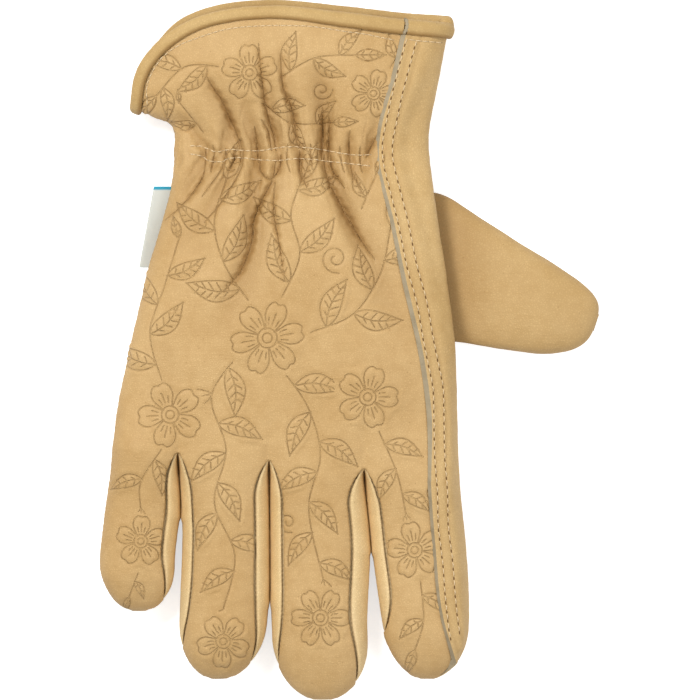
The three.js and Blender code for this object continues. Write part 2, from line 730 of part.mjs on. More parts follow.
// Materials, from the photograph's colours
const matt = (color, roughness) =>
  new THREE.MeshStandardMaterial({ color, roughness, metalness: 0 });
const embossedLeather = matt(0xbf9a63, 0.6);
const smoothLeather = matt(0xcbaa72, 0.6);
const bindingLeather = matt(0xd5b47a, 0.6);
const labelCloth = matt(0xd6d7cf, 0.85);

const glove = new THREE.Group();
function add(name, geometry, material) {
  const mesh = new THREE.Mesh(geometry, material);
  mesh.name = name;
  glove.add(mesh);
}

const thumbCavity = thumbSolid(THUMB_WALL, 0, THUMB.length - 1);
const thumbOuter = thumbSolid(0, THUMB_OPENS_AT, THUMB.length - 1);
const palmGeometry = panel(-1, PALM_COLUMNS);
add("back_panel", panel(1, BACK_COLUMNS), embossedLeather);
add("palm_panel", toGeometry(toSolid(palmGeometry).subtract(thumbCavity)), smoothLeather);
add("thumb", toGeometry(thumbOuter.subtract(thumbCavity).subtract(handBody(-GAP))), smoothLeather);
FINGERS.slice(0, 3).forEach((finger, n) => {
  add(`fourchette_${finger.name}_${FINGERS[n + 1].name}`, fourchette(n), smoothLeather);
});

const lapAtRim = SECTIONS[RIM_SECTION].lap;
const overBack = leaning(0, lapAtRim - JOIN, BINDING_STEPS.back).map((u) => ({ u, side: 1 }));
const overLap = leaning(1, lapAtRim + JOIN, BINDING_STEPS.lap).reverse().map((u) => ({ u, side: 1 }));
const underPalm = [
  ...leaning(1, 0.5, BINDING_STEPS.palmNear).slice(1),
  ...leaning(0, 0.5, BINDING_STEPS.palmFar).reverse().slice(1),
];
const bands = [rimBand(1, BACK_COLUMNS), rimBand(-1, PALM_COLUMNS)];
const bound = (places) =>
  toGeometry(bands.reduce((solid, band) => solid.subtract(band), toSolid(binding(places))));
add("cuff_binding_back", bound(overBack), bindingLeather);
add("cuff_binding_palm", bound([
  ...overLap, ...underPalm.map((u) => ({ u, side: -1 })),
]), bindingLeather);
add("side_label", label(), labelCloth);

export default glove;
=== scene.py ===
# %% [markdown]
# # A leather driver glove
# The glove is for the right hand and lies on its palm, seen from straight above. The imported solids
# are loaded first, as a fixed frame. Everything below works in millimetres in that same frame, and
# only the last step of each piece turns millimetres into Blender's metres.

# %% The frame
import math
import random

import bpy
import numpy as np
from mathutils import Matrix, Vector, noise
from mathutils.bvhtree import BVHTree


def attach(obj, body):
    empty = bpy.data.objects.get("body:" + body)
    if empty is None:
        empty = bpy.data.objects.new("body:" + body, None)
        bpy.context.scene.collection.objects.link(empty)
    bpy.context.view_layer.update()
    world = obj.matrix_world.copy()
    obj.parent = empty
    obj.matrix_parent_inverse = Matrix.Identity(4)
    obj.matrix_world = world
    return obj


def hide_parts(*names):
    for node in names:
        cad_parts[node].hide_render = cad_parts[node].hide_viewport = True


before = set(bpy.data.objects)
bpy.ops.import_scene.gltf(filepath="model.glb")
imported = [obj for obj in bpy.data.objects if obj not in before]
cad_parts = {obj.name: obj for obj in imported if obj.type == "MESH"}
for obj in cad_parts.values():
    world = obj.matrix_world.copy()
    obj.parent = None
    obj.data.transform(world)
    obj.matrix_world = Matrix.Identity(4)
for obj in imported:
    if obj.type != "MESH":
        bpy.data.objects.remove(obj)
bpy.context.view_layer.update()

MM = 0.001
BODY = "root"
print("solids:", ", ".join(sorted(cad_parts)))

# %% [markdown]
# ## Curves and blends
# A few short formulas carry the whole glove: a smooth step, a straight blend, and a smooth curve
# through the rows of a table. They take numpy arrays, so one call works on a whole row of points.


# %% Blends and curves
def smooth(x):
    x = np.clip(x, 0, 1)
    return x * x * (3 - 2 * x)


def lerp(a, b, share):
    return a + (b - a) * share


def span(b, c, start, end, t):
    """The curve from b to c that sets out along start and arrives along end."""
    return b + start * t + (3 * (c - b) - 2 * start - end) * t**2 + (2 * (b - c) + start + end) * t**3


def cubic(a, b, c, d, t):
    return span(b, c, (c - a) / 2, (d - b) / 2, t)


def along(values, place):
    """The value of a smooth curve through a list, at a place counted in entries."""
    values = np.asarray(values, float)
    last = len(values) - 1
    i = int(np.clip(np.floor(place), 0, last - 1))
    a, b, c, d = (values[min(max(i + n, 0), last)] for n in (-1, 0, 1, 2))
    return cubic(a, b, c, d, place - i)


def run_length(points):
    """The length of a polyline up to each of its points."""
    steps = np.linalg.norm(np.diff(points, axis=0), axis=1)
    return np.concatenate([[0], np.cumsum(steps)])


def resampled(points, count):
    """A polyline's points spaced evenly along it."""
    points = np.asarray(points, float)
    run = run_length(points)
    places = np.linspace(0, run[-1], count)
    return np.stack([np.interp(places, run, axis) for axis in points.T], axis=1)


def curve_through(points, per_span=8):
    """A smooth line through a few points."""
    points = np.asarray(points, float)
    places = np.linspace(0, len(points) - 1, per_span * (len(points) - 1) + 1)
    return np.array([along(points, place) for place in places])


PHOTO_MIDDLE = 350
PHOTO_MM = 0.34


def from_photo(points):
    """Places measured on the 700 pixel wide picture, as millimetres seen from above."""
    points = np.asarray(points, float)
    return np.stack([points[:, 0] - PHOTO_MIDDLE, PHOTO_MIDDLE - points[:, 1]], axis=1) * PHOTO_MM


# %% [markdown]
# ## The camera, the light and the floor
# The glove was photographed flat, from straight above, on white. A long lens far away gives the same
# nearly parallel view. The photograph's light is broad and almost frontal, a little stronger from
# the upper left, so two large panels hang high on both sides and white surroundings fill the rest.

# %% The camera, the light and the floor
VIEW_WIDTH = 700 * PHOTO_MM
CAMERA_HEIGHT = 6000
OUTLINE_HEIGHT = 9
SENSOR = 36
scene = bpy.context.scene
camera = bpy.data.objects.new("camera", bpy.data.cameras.new("camera"))
camera.data.sensor_width = SENSOR
camera.data.lens = SENSOR * (CAMERA_HEIGHT - OUTLINE_HEIGHT) / VIEW_WIDTH
camera.data.clip_end = 20
camera.location = (0, 0, CAMERA_HEIGHT * MM)
scene.collection.objects.link(camera)
scene.camera = camera
scene.view_settings.view_transform = "Standard"


def panel_light(name, place, size, watts):
    light = bpy.data.lights.new(name, "AREA")
    light.size = size
    light.energy = watts
    panel = bpy.data.objects.new(name, light)
    panel.location = place
    panel.rotation_euler = (-Vector(place)).to_track_quat("-Z", "Y").to_euler()
    scene.collection.objects.link(panel)


panel_light("key_light", (-0.6, 0.65, 1.15), 0.4, 15.5)
panel_light("fill_light", (0.8, -0.2, 1.1), 0.6, 6)

WORLD_LIGHT = 0.53
world = bpy.data.worlds.new("studio")
world.use_nodes = True
world.node_tree.nodes["Background"].inputs["Color"].default_value = (1, 1, 1, 1)
world.node_tree.nodes["Background"].inputs["Strength"].default_value = WORLD_LIGHT
scene.world = world

FLOOR_SIZE = 4
FLOOR_BELOW = 0.0002
floor_mesh = bpy.data.meshes.new("floor")
half = FLOOR_SIZE / 2
floor_corners = [(-half, -half, 0), (half, -half, 0), (half, half, 0), (-half, half, 0)]
floor_mesh.from_pydata(floor_corners, [], [(0, 1, 2, 3)])
floor = bpy.data.objects.new("floor", floor_mesh)
floor.location.z = -FLOOR_BELOW
scene.collection.objects.link(floor)


# %% [markdown]
# ## Building shader trees
# Materials are made of nodes. Four small helpers keep each one readable: one makes a node and sets
# its sockets, one does arithmetic, one mixes colours and one starts a node group with named inputs
# and outputs.


# %% Node helpers
def make(tree, kind, sockets=None, **settings):
    node = tree.nodes.new(kind)
    for name, value in settings.items():
        setattr(node, name, value)
    for name, value in (sockets or {}).items():
        put(tree, value, node.inputs[name])
    return node


def put(tree, value, socket):
    """Sets a socket, or links another node's output to it."""
    if isinstance(value, bpy.types.NodeSocket):
        tree.links.new(value, socket)
    else:
        socket.default_value = value


def calc(tree, operation, a, b=0.0):
    node = make(tree, "ShaderNodeMath", operation=operation)
    put(tree, a, node.inputs[0])
    put(tree, b, node.inputs[1])
    return node.outputs[0]


def ramp(tree, value, low, high):
    """0 below low and 1 above high, smooth between them; high may be the lower one."""
    node = make(tree, "ShaderNodeMapRange", interpolation_type="SMOOTHSTEP")
    put(tree, value, node.inputs["Value"])
    node.inputs["From Min"].default_value = min(low, high)
    node.inputs["From Max"].default_value = max(low, high)
    node.inputs["To Min"].default_value = 0 if low < high else 1
    node.inputs["To Max"].default_value = 1 if low < high else 0
    return node.outputs["Result"]


def mix(tree, share, a, b):
    node = make(tree, "ShaderNodeMix", data_type="RGBA")
    put(tree, share, node.inputs["Factor"])
    put(tree, a, node.inputs["A"] if node.inputs["A"].type == "RGBA" else node.inputs[6])
    put(tree, b, node.inputs["B"] if node.inputs["B"].type == "RGBA" else node.inputs[7])
    return node.outputs[2]


def attribute(tree, name):
    return make(tree, "ShaderNodeAttribute", attribute_name=name).outputs["Fac"]


def group(name, inputs, outputs):
    tree = bpy.data.node_groups.new(name, "ShaderNodeTree")
    for label, default in inputs.items():
        socket = tree.interface.new_socket(label, in_out="INPUT", socket_type="NodeSocketFloat")
        socket.default_value = default
    for label in outputs:
        tree.interface.new_socket(label, in_out="OUTPUT", socket_type="NodeSocketFloat")
    return tree, tree.nodes.new("NodeGroupInput").outputs, tree.nodes.new("NodeGroupOutput").inputs


def use_group(tree, made, sockets=None):
    node = make(tree, "ShaderNodeGroup", node_tree=made)
    for name, value in (sockets or {}).items():
        put(tree, value, node.inputs[name])
    return node.outputs


def srgb(*values):
    """A colour read off the photograph, 0 to 255, as the shader's linear values."""
    shares = [v / 255 for v in values]
    return tuple(v / 12.92 if v <= 0.04045 else ((v + 0.055) / 1.055) ** 2.4 for v in shares) + (1.0,)


# %% [markdown]
# ## Leather grain
# Full-grain leather is a net of small raised cells with fine creases between them, and pores in
# the creases. A Voronoi pattern gives the cells: its distance to the edge is high in the middle of
# a cell and falls to zero in the creases. Noise bends the cells so that no two are alike, and a
# slower noise makes them coarser and finer from place to place.


# %% The grain group
def grain_group():
    outputs = ["Height", "Crease", "Pull", "Pore"]
    tree, given, made = group("leather_grain", {"Cell": 0.0009, "Bend": 0.5}, outputs)
    place = make(tree, "ShaderNodeTexCoord").outputs["Object"]
    frequency = calc(tree, "DIVIDE", 1.0, given["Cell"])
    bend = make(tree, "ShaderNodeTexNoise", {"Vector": place, "Scale": 420.0, "Detail": 2.0})
    shift = make(tree, "ShaderNodeVectorMath", {0: bend.outputs["Color"]}, operation="SCALE")
    put(tree, calc(tree, "MULTIPLY", given["Bend"], given["Cell"]), shift.inputs["Scale"])
    bent = make(tree, "ShaderNodeVectorMath", {0: place, 1: shift.outputs[0]}, operation="ADD").outputs[0]
    at_edges = {"Vector": bent, "Scale": frequency}
    cells = make(tree, "ShaderNodeTexVoronoi", at_edges, feature="DISTANCE_TO_EDGE")
    domes = ramp(tree, cells.outputs["Distance"], 0.0, 0.42)
    fine = make(tree, "ShaderNodeTexNoise", {"Vector": bent, "Scale": 2600.0, "Detail": 3.0}).outputs["Fac"]
    slow = make(tree, "ShaderNodeTexNoise", {"Vector": place, "Scale": 90.0, "Detail": 3.0}).outputs["Fac"]
    strong = calc(tree, "MULTIPLY", domes, ramp(tree, slow, 0.25, 0.7))
    put(tree, calc(tree, "ADD", strong, calc(tree, "MULTIPLY", fine, 0.45)), made["Height"])
    put(tree, calc(tree, "SUBTRACT", 1.0, domes), made["Crease"])
    stretched = make(tree, "ShaderNodeMapping", {"Vector": place, "Scale": (160.0, 900.0, 500.0)})
    creases = make(tree, "ShaderNodeTexNoise", {"Vector": stretched.outputs[0], "Scale": 1.0, "Detail": 4.0})
    put(tree, ramp(tree, creases.outputs["Fac"], 0.4, 0.62), made["Pull"])
    dots = make(tree, "ShaderNodeTexVoronoi", {"Vector": place, "Scale": 330.0})
    put(tree, ramp(tree, dots.outputs["Distance"], 0.11, 0.04), made["Pore"])
    return tree


GRAIN = grain_group()


# %% [markdown]
# ## Tone and handling
# Dye sinks in unevenly, so a hide shows soft clouds a few centimetres wide with finer mottling in
# them. Both are noise in object space, mixed to one number that each leather turns into its own
# two shades.


# %% The tone group
def tone_group():
    tree, given, made = group("hide_tone", {"Cloud": 0.028, "Mottle": 0.004}, ["Tone", "Rough"])
    place = make(tree, "ShaderNodeTexCoord").outputs["Object"]
    clouds = make(tree, "ShaderNodeTexNoise", {"Vector": place, "Detail": 2.0})
    put(tree, calc(tree, "DIVIDE", 1.0, given["Cloud"]), clouds.inputs["Scale"])
    mottle = make(tree, "ShaderNodeTexNoise", {"Vector": place, "Detail": 4.0})
    put(tree, calc(tree, "DIVIDE", 1.0, given["Mottle"]), mottle.inputs["Scale"])
    wide = calc(tree, "MULTIPLY", ramp(tree, clouds.outputs["Fac"], 0.3, 0.7), 0.62)
    small = calc(tree, "MULTIPLY", ramp(tree, mottle.outputs["Fac"], 0.32, 0.68), 0.38)
    put(tree, calc(tree, "ADD", wide, small), made["Tone"])
    put(tree, mottle.outputs["Fac"], made["Rough"])
    return tree


TONE = tone_group()

# %% [markdown]
# ## The leathers
# Every piece of the glove is the same tan grain leather, pressed with a pattern on the back and plain
# elsewhere, so one function makes them all; the side strips get a lighter copy of it, which is painted light
# against the shade between the fingers. Numbers kept on the mesh steer it. One is painted shade: it darkens
# folds, creases, the dips of stitch rows and places under an overhang, where shade falls, and in the folds of
# the back it also stands for the darker, more yellow leather that handling leaves there; on the thumb it adds
# a darker tone all over. Another is painted shade in the groove of a seam, 1 at its bottom. Raw marks the
# open cut edge, which is grey and fibrous, and line_1, line_2, near_1 and near_2 are distances to the two
# nearest pressed lines, signed and unsigned. The pattern's pressed lines are darker leather, and the crease
# lines among them get the same dark line as painted shade.

# %% The leather material
LINE_HALF_WIDTH = (0.05, 0.3)
LINE_NEAR = (0.45, 0.62)
# the pattern's pressed lines are darker leather; along the crease lines the same dark line is painted shade
PATTERN_AND_CREASE_SHADE_DARKNESS = (0.07, 0.42)
PATTERN_AND_CREASE_SHADE_COLOUR = srgb(124, 88, 42)
PRESS_BUMP = 0.00022
# painted shade in the groove of each seam
SEAM_SHADE_DARKNESS = 0.7
SEAM_SHADE_COLOUR = srgb(84, 56, 22)
# painted shade in folds and under overhangs, with the darker tone of handled leather; the same colour darkens
# the grain's own creases and pores
PAINTED_SHADE_AND_GRAIN_COLOUR = srgb(136, 98, 48)
PAINTED_SHADE_AND_TONE_DARKNESS = 0.7
CREASE_DARKNESS = 0.24
PORE_DARKNESS = 0.4
FIBRE_COLOURS = (srgb(128, 114, 88), srgb(178, 163, 135))


def pressed_line(tree, n):
    """1 in the bottom of the n-th nearest line and 0 beside it and past its ends."""
    line = ramp(tree, calc(tree, "ABSOLUTE", attribute(tree, f"line_{n}")), *LINE_HALF_WIDTH[::-1])
    return calc(tree, "MULTIPLY", line, ramp(tree, attribute(tree, f"near_{n}"), *LINE_NEAR[::-1]))


def leather_material(name, light, dark, cell, bump, embossed=False):
    material = bpy.data.materials.new(name)
    material.use_nodes = True
    tree = material.node_tree
    shader = tree.nodes["Principled BSDF"]
    grain = use_group(tree, GRAIN, {"Cell": cell})
    tone = use_group(tree, TONE)
    colour = mix(tree, tone["Tone"], dark, light)
    # the grain's creases and pores are darker leather; the third entry is painted shade in folds and hollows,
    # with some darker handled tone
    darker = (
        (grain["Crease"], CREASE_DARKNESS),
        (grain["Pore"], PORE_DARKNESS),
        (attribute(tree, "painted_shade_and_tone"), PAINTED_SHADE_AND_TONE_DARKNESS),
    )
    for where, darkness in darker:
        colour = mix(tree, calc(tree, "MULTIPLY", where, darkness), colour, PAINTED_SHADE_AND_GRAIN_COLOUR)
    height = calc(tree, "ADD", grain["Height"], calc(tree, "MULTIPLY", grain["Pull"], 0.5))
    normal = None
    if embossed:
        # darker leather in the pattern's pressed lines, and painted shade along the crease lines among them
        groove = calc(tree, "MAXIMUM", pressed_line(tree, 1), pressed_line(tree, 2))
        least, more = PATTERN_AND_CREASE_SHADE_DARKNESS
        worn = calc(tree, "ADD", least, calc(tree, "MULTIPLY", ramp(tree, tone["Rough"], 0.35, 0.65), more))
        colour = mix(tree, calc(tree, "MULTIPLY", groove, worn), colour, PATTERN_AND_CREASE_SHADE_COLOUR)
        press = make(tree, "ShaderNodeBump", {"Height": groove, "Distance": PRESS_BUMP}, invert=True)
        normal = press.outputs["Normal"]
    # painted shade in the groove of each seam
    painted_seam_shade = calc(tree, "MULTIPLY", attribute(tree, "painted_seam_shade"), SEAM_SHADE_DARKNESS)
    colour = mix(tree, painted_seam_shade, colour, SEAM_SHADE_COLOUR)
    raw = attribute(tree, "raw")
    colour = mix(tree, raw, colour, mix(tree, tone["Rough"], *FIBRE_COLOURS))
    relief = make(tree, "ShaderNodeBump", {"Height": height, "Distance": bump, "Strength": 0.7})
    if normal is not None:
        put(tree, normal, relief.inputs["Normal"])
    rough = calc(tree, "ADD", calc(tree, "MULTIPLY", tone["Rough"], 0.2), 0.5)
    put(tree, colour, shader.inputs["Base Color"])
    put(tree, calc(tree, "ADD", rough, calc(tree, "MULTIPLY", raw, 0.25)), shader.inputs["Roughness"])
    put(tree, relief.outputs["Normal"], shader.inputs["Normal"])
    shader.inputs["Specular IOR Level"].default_value = 0.32
    return material


BACK_LEATHER = leather_material(
    "embossed_back", srgb(205, 171, 118), srgb(190, 154, 100), 0.0007, 0.0001, embossed=True
)
PLAIN_LEATHER = leather_material("smooth_grain", srgb(208, 176, 122), srgb(194, 160, 104), 0.0008, 0.0001)
# the side strips: a lighter copy of the same leather, painted light against the shade between the fingers
SIDE_LEATHER_PAINTED_LIGHT = leather_material("side_grain_painted_light", srgb(236, 208, 156), srgb(224, 194, 140), 0.0007, 0.00008)
BINDING_LEATHER = leather_material("binding_grain", srgb(199, 168, 112), srgb(185, 152, 96), 0.0008, 0.00008)


# %% [markdown]
# ## Thread, label cloth and floor
# The thread is a pale two-ply twist, and a diagonal wave makes the twist. The number called raw marks the
# slits left by the needle, which are painted dark as the shade in the holes. The label is a close satin weave
# with a teal stripe woven across its end. The floor is white paper that glows towards the camera only, as if
# lit from below, so it shows hardly any shadow.


# %% Thread, label and floor materials
FLOOR_GLOW = 0.62


def plain_material(name, roughness):
    material = bpy.data.materials.new(name)
    material.use_nodes = True
    shader = material.node_tree.nodes["Principled BSDF"]
    shader.inputs["Roughness"].default_value = roughness
    return material, material.node_tree, shader


def thread_material():
    material, tree, shader = plain_material("thread", 0.7)
    place = make(tree, "ShaderNodeTexCoord").outputs["Object"]
    wave = {"Vector": place, "Scale": 900.0, "Distortion": 1.0}
    twist = make(tree, "ShaderNodeTexWave", wave, bands_direction="DIAGONAL")
    pale = mix(tree, twist.outputs["Fac"], srgb(206, 180, 136), srgb(228, 204, 164))
    # dark brown where raw marks a needle slit: painted shade in the hole
    put(tree, mix(tree, attribute(tree, "raw"), pale, srgb(108, 76, 34)), shader.inputs["Base Color"])
    relief = make(tree, "ShaderNodeBump", {"Height": twist.outputs["Fac"], "Distance": 0.00006})
    put(tree, relief.outputs["Normal"], shader.inputs["Normal"])
    return material


def label_material():
    material, tree, shader = plain_material("label_satin", 0.6)
    place = make(tree, "ShaderNodeTexCoord").outputs["Object"]
    weft = make(tree, "ShaderNodeTexWave", {"Vector": place, "Scale": 1100.0}, bands_direction="Y")
    warp = make(tree, "ShaderNodeTexWave", {"Vector": place, "Scale": 800.0}, bands_direction="X")
    weave = calc(tree, "MULTIPLY", weft.outputs["Fac"], warp.outputs["Fac"])
    white = mix(tree, weave, srgb(194, 195, 186), srgb(213, 214, 206))
    stripe = attribute(tree, "stripe")
    put(tree, mix(tree, stripe, white, srgb(30, 148, 176)), shader.inputs["Base Color"])
    relief = make(tree, "ShaderNodeBump", {"Height": weave, "Distance": 0.00004})
    put(tree, relief.outputs["Normal"], shader.inputs["Normal"])
    return material


def floor_material():
    material, tree, shader = plain_material("floor_paper", 0.9)
    place = make(tree, "ShaderNodeTexCoord").outputs["Object"]
    fibre = make(tree, "ShaderNodeTexNoise", {"Vector": place, "Scale": 60.0}).outputs["Fac"]
    put(tree, mix(tree, fibre, (0.86, 0.86, 0.86, 1), (0.88, 0.88, 0.88, 1)), shader.inputs["Base Color"])
    shader.inputs["Emission Color"].default_value = (1, 1, 1, 1)
    seen = make(tree, "ShaderNodeLightPath").outputs["Is Camera Ray"]
    put(tree, calc(tree, "MULTIPLY", seen, FLOOR_GLOW), shader.inputs["Emission Strength"])
    return material


THREAD = thread_material()
LABEL_CLOTH = label_material()
floor.data.materials.append(floor_material())

# %% [markdown]
# ## Driving dimensions
# These are the glove's real sizes, the same ones as in the solids. SECTIONS cross the hand from the
# line of the finger crotches to the cuff's rim: each row has the left side line (x, y, height), the
# right one, the back's height, the palm's height and the place of the overlapped seam.

# %% Hand sizes
WALL = 1.2
GAP = 0.3
LAP_WIDTH = 6.5
LAP_RISE = WALL + GAP
LAP_BLEND = 9
LAP_ENDS = (0.76, 0.88)
LAP_LIMIT = 0.82
LAP_ROOM = 0.5
HAND_FULLNESS = 2.6
FINGER_FULLNESS = 2.4
PALM_SAG = 3
CROTCH_DROP = 0.2
CROTCH_FULLNESS = 2.2
CROTCH_REACH = 1.1
FINGER_ROUNDS_BY = 0.22
PALM_RIM_STEP = 2.4
PALM_RIM_FROM = -68
PALM_RIM_RUN = 12
SECTIONS = [
    ((-80.7, -33.3, 9.5), (37.2, -43.5, 10), 23, 0, 0.914),
    ((-78.6, -17.0, 10), (36.5, -22.1, 11), 24, 0, 0.913),
    ((-74.2, 3.4, 10), (35.8, 0.0, 15), 26, 0, 0.887),
    ((-69.0, 25.5, 10), (33.0, 22.8, 17), 27, 0, 0.854),
    ((-63.6, 44.9, 10), (29.9, 43.5, 17), 26, 0, 0.829),
    ((-60.5, 57.8, 10), (28.1, 56.4, 15), 24, 0, 0.803),
    ((-59.8, 67.3, 9.5), (27.2, 64.6, 12), 21, 0, 0.791),
    ((-60.4, 75.8, 9.5), (27.0, 74.8, 11), 21.5, 0, 0.802),
    ((-67.3, 78.6, 10), (30.5, 92.0, 11), 24, 0.4, 0.85),
    ((-73.2, 82.4, 9), (33.5, 109.0, 11), 22, 1.7, 0.88),
]
RIM_SECTION = len(SECTIONS) - 1
FLARE_SECTION = RIM_SECTION - 2
LEFT = np.array([row[0] for row in SECTIONS], float)
RIGHT = np.array([row[1] for row in SECTIONS], float)
TOP = np.array([row[2] for row in SECTIONS], float)
FLOOR = np.array([row[3] for row in SECTIONS], float)
LAP = np.array([row[4] for row in SECTIONS], float)

# %% [markdown]
# Each finger has its side lines at four stations from root to tip, its height there, where its tip
# ends, how far the tip's rounding reaches, how far its two seams lie in from the side lines, and
# where they close. The gathers are valleys that cross the elastic at x and run away up and down
# from it, drifting sideways as they go.

# %% Finger, gather and thumb sizes
FINGERS = [
    {
        "name": "little",
        "left": [-80.7, -82.9, -85.1, -84.2],
        "right": [-58.7, -57.6, -59.5, -59.2],
        "top": [23, 19, 18, 16.5],
        "tip": -88.7,
        "round": 15.6,
        "seams": [0, 4.6],
        "closes": [0, 0.93],
    },
    {
        "name": "ring",
        "left": [-58.3, -57.0, -57.8, -58.6],
        "right": [-27.7, -27.4, -27.7, -30.2],
        "top": [23, 20.5, 19.5, 18],
        "tip": -111.7,
        "round": 18,
        "seams": [3.8, 4.8],
        "closes": [0.86, 0.93],
    },
    {
        "name": "middle",
        "left": [-27.3, -27.1, -26.7, -25.6],
        "right": [4.6, 6.8, 5.9, 6.9],
        "top": [23, 21, 20, 18],
        "tip": -118.8,
        "round": 20.4,
        "seams": [4.1, 6.2],
        "closes": [0.86, 0.93],
    },
    {
        "name": "index",
        "left": [5.0, 7.1, 10.2, 13.2],
        "right": [37.2, 39.5, 40.6, 39.4],
        "top": [23, 20.5, 19.5, 18],
        "tip": -111.7,
        "round": 17,
        "seams": [4.5, 0],
        "closes": [0.78, 0],
        "lap": [0.36, 0.325, 0.367, 0.75],
    },
]
INDEX = FINGERS[3]
FINGER_SIDE_HEIGHT = 8.5
TIP_NARROWS_TO = 0.24
LEAST_WIDTH = 0.2
FINGER_SPANS = 3
SEAM_OPENS_OVER = 14
SEAM_CLOSES_FROM = 0.5
SEAM_CLOSING = 2.5
PALM_INSET = 0.8
FOURCHETTE_PUFF = 0.55

ELASTIC_Y = 66
ELASTIC_SLOPE = -0.03
GATHER_FADE = 0.8
# x, depth, width, up, drift up, down, drift down
GATHERS = [
    (-48.5, 1.6, 2.4, 12, -9, 22, -12),
    (-42.5, 1.6, 2.2, 22, 3, 18, -13),
    (-37.0, 1.9, 2.2, 10, -3, 26, -14),
    (-30.9, 2.6, 2.6, 24, -7, 40, -6),
    (-24.0, 1.8, 2.4, 32, -6, 14, -1),
    (-17.2, 2.0, 2.4, 36, -6, 16, 4),
    (-8.6, 2.6, 2.8, 30, 0, 46, 17),
    (0.0, 1.5, 2.2, 8, 1, 14, 3),
    (5.6, 1.4, 2.2, 18, 6, 12, 0),
]

# near side (x, y), far side (x, y), height
THUMB = [
    ((5.0, 4.4), (4.0, 53.0), 11.5),
    ((22.0, 3.2), (20.0, 53.4), 11.0),
    ((36.0, 2.6), (32.0, 52.6), 10.8),
    ((52.0, 0.2), (49.0, 42.0), 12.4),
    ((66.0, -1.6), (66.0, 31.6), 13.6),
    ((79.8, -3.0), (87.8, 21.6), 12.6),
]
THUMB_ROUND = 1.25
THUMB_FULLNESS = 2.3
THUMB_END = 0.985
THUMB_SIDE_HEIGHT = 5.5
RAMP_FROM, RAMP_TO, RAMP_HEIGHT = 9, 30, 12.6
RAMP_LOW, RAMP_HIGH, RAMP_SOFT = -9, 67, 15

# the cuff's rim seen from above, from the little finger's side to the thumb's
RIM = [
    (-73.2, 82.4),
    (-71.2, 93.4),
    (-64.4, 102.8),
    (-51.0, 111.0),
    (-28.9, 114.6),
    (-2.0, 112.4),
    (17.7, 110.2),
    (33.5, 109.0),
]


# %% [markdown]
# ## The skins
# A skin is a function: it takes a place along the glove, in sections of the hand or as a share of
# a finger, and a place across, and gives a point at some depth under the outer surface. The same
# function makes the outer and the inner face of each piece, so the leather keeps its thickness.


# %% The plan of the hand
RIM_STEPS = 40


def rim_line():
    """The rim as a centripetal curve: places as shares of its length, and its points."""
    points = np.array(RIM)
    around = np.vstack([2 * points[0] - points[1], points, 2 * points[-1] - points[-2]])
    t = np.linspace(0, 1, RIM_STEPS, endpoint=False)[:, None]
    line = []
    for i in range(len(points) - 1):
        a, b, c, d = around[i : i + 4]
        before, here, after = (np.linalg.norm(q - p) ** 0.5 for p, q in ((a, b), (b, c), (c, d)))
        start = ((b - a) / before - (c - a) / (before + here) + (c - b) / here) * here
        end = ((c - b) / here - (d - b) / (here + after) + (d - c) / after) * here
        line.append(span(b, c, start, end, t))
    line = np.vstack(line + [points[-1:]])
    run = run_length(line)
    return run / run[-1], line


RIM_SHARES, RIM_LINE = rim_line()


def section_plan(k, u):
    """Where a numbered section lies in plan, u of the way across the hand."""
    k = min(max(k, 0), RIM_SECTION)
    straight = min(k, FLARE_SECTION)
    line = lerp(LEFT[straight, :2], RIGHT[straight, :2], u[:, None])
    share = (k - straight) / (RIM_SECTION - FLARE_SECTION)
    rim = np.stack([np.interp(u, RIM_SHARES, axis) for axis in RIM_LINE.T], axis=1)
    return lerp(line, rim, share)


def hand_plan(k, u):
    low = int(np.floor(k))
    return cubic(*(section_plan(low + n, u) for n in (-1, 0, 1, 2)), k - low)


HAND_WIDTH = RIGHT[0, 0] - LEFT[0, 0]
for finger in FINGERS:
    first, last = ((finger[side][0] - LEFT[0, 0]) / HAND_WIDTH for side in ("left", "right"))
    finger["middle_share"] = (first + last) / 2
    finger["half_share"] = (last - first) / 2
    finger["length"] = hand_plan(0, np.array([finger["middle_share"]]))[0, 1] - finger["tip"]


# %% Heights and skins
def superellipse(s, fullness):
    return np.maximum(0, 1 - np.abs(s) ** fullness) ** (1 / fullness)


def finger_profile(finger, s, f):
    """A finger's outline: a side with a fourchette starts as a web, the others are round."""
    rounded = superellipse(s, FINGER_FULLNESS)
    web = 1 - CROTCH_DROP * np.abs(s) ** CROTCH_FULLNESS
    seamed = np.where(s < 0, finger["seams"][0] > 0, finger["seams"][1] > 0)
    return np.where(seamed, lerp(web, rounded, smooth(f / FINGER_ROUNDS_BY)), rounded)


def skin_height(side, share, side_height, top, low, depth):
    if side > 0:
        base = side_height + GAP / 2
        return base + (top - depth - base) * share
    base = side_height - GAP / 2
    return np.maximum(base - (base - low + PALM_SAG - depth) * share, np.minimum(low + depth, base))


def gather_depth(x, y):
    elastic = ELASTIC_Y + ELASTIC_SLOPE * x
    above = y > elastic
    total = np.zeros_like(x)
    for at, depth, width, up, up_drift, down, down_drift in GATHERS:
        reach = np.abs(y - elastic) / np.where(above, up, down)
        drift = np.where(above, up_drift, down_drift) * reach
        valley = np.exp(-(((x - at - drift) / width) ** 2))
        total += depth * valley * (1 - smooth(reach * GATHER_FADE))
    return total


def thumb_ramp(x, y):
    window = smooth((y - RAMP_LOW) / RAMP_SOFT) * smooth((RAMP_HIGH - y) / RAMP_SOFT)
    return RAMP_HEIGHT * smooth((x - RAMP_FROM) / (RAMP_TO - RAMP_FROM)) * window


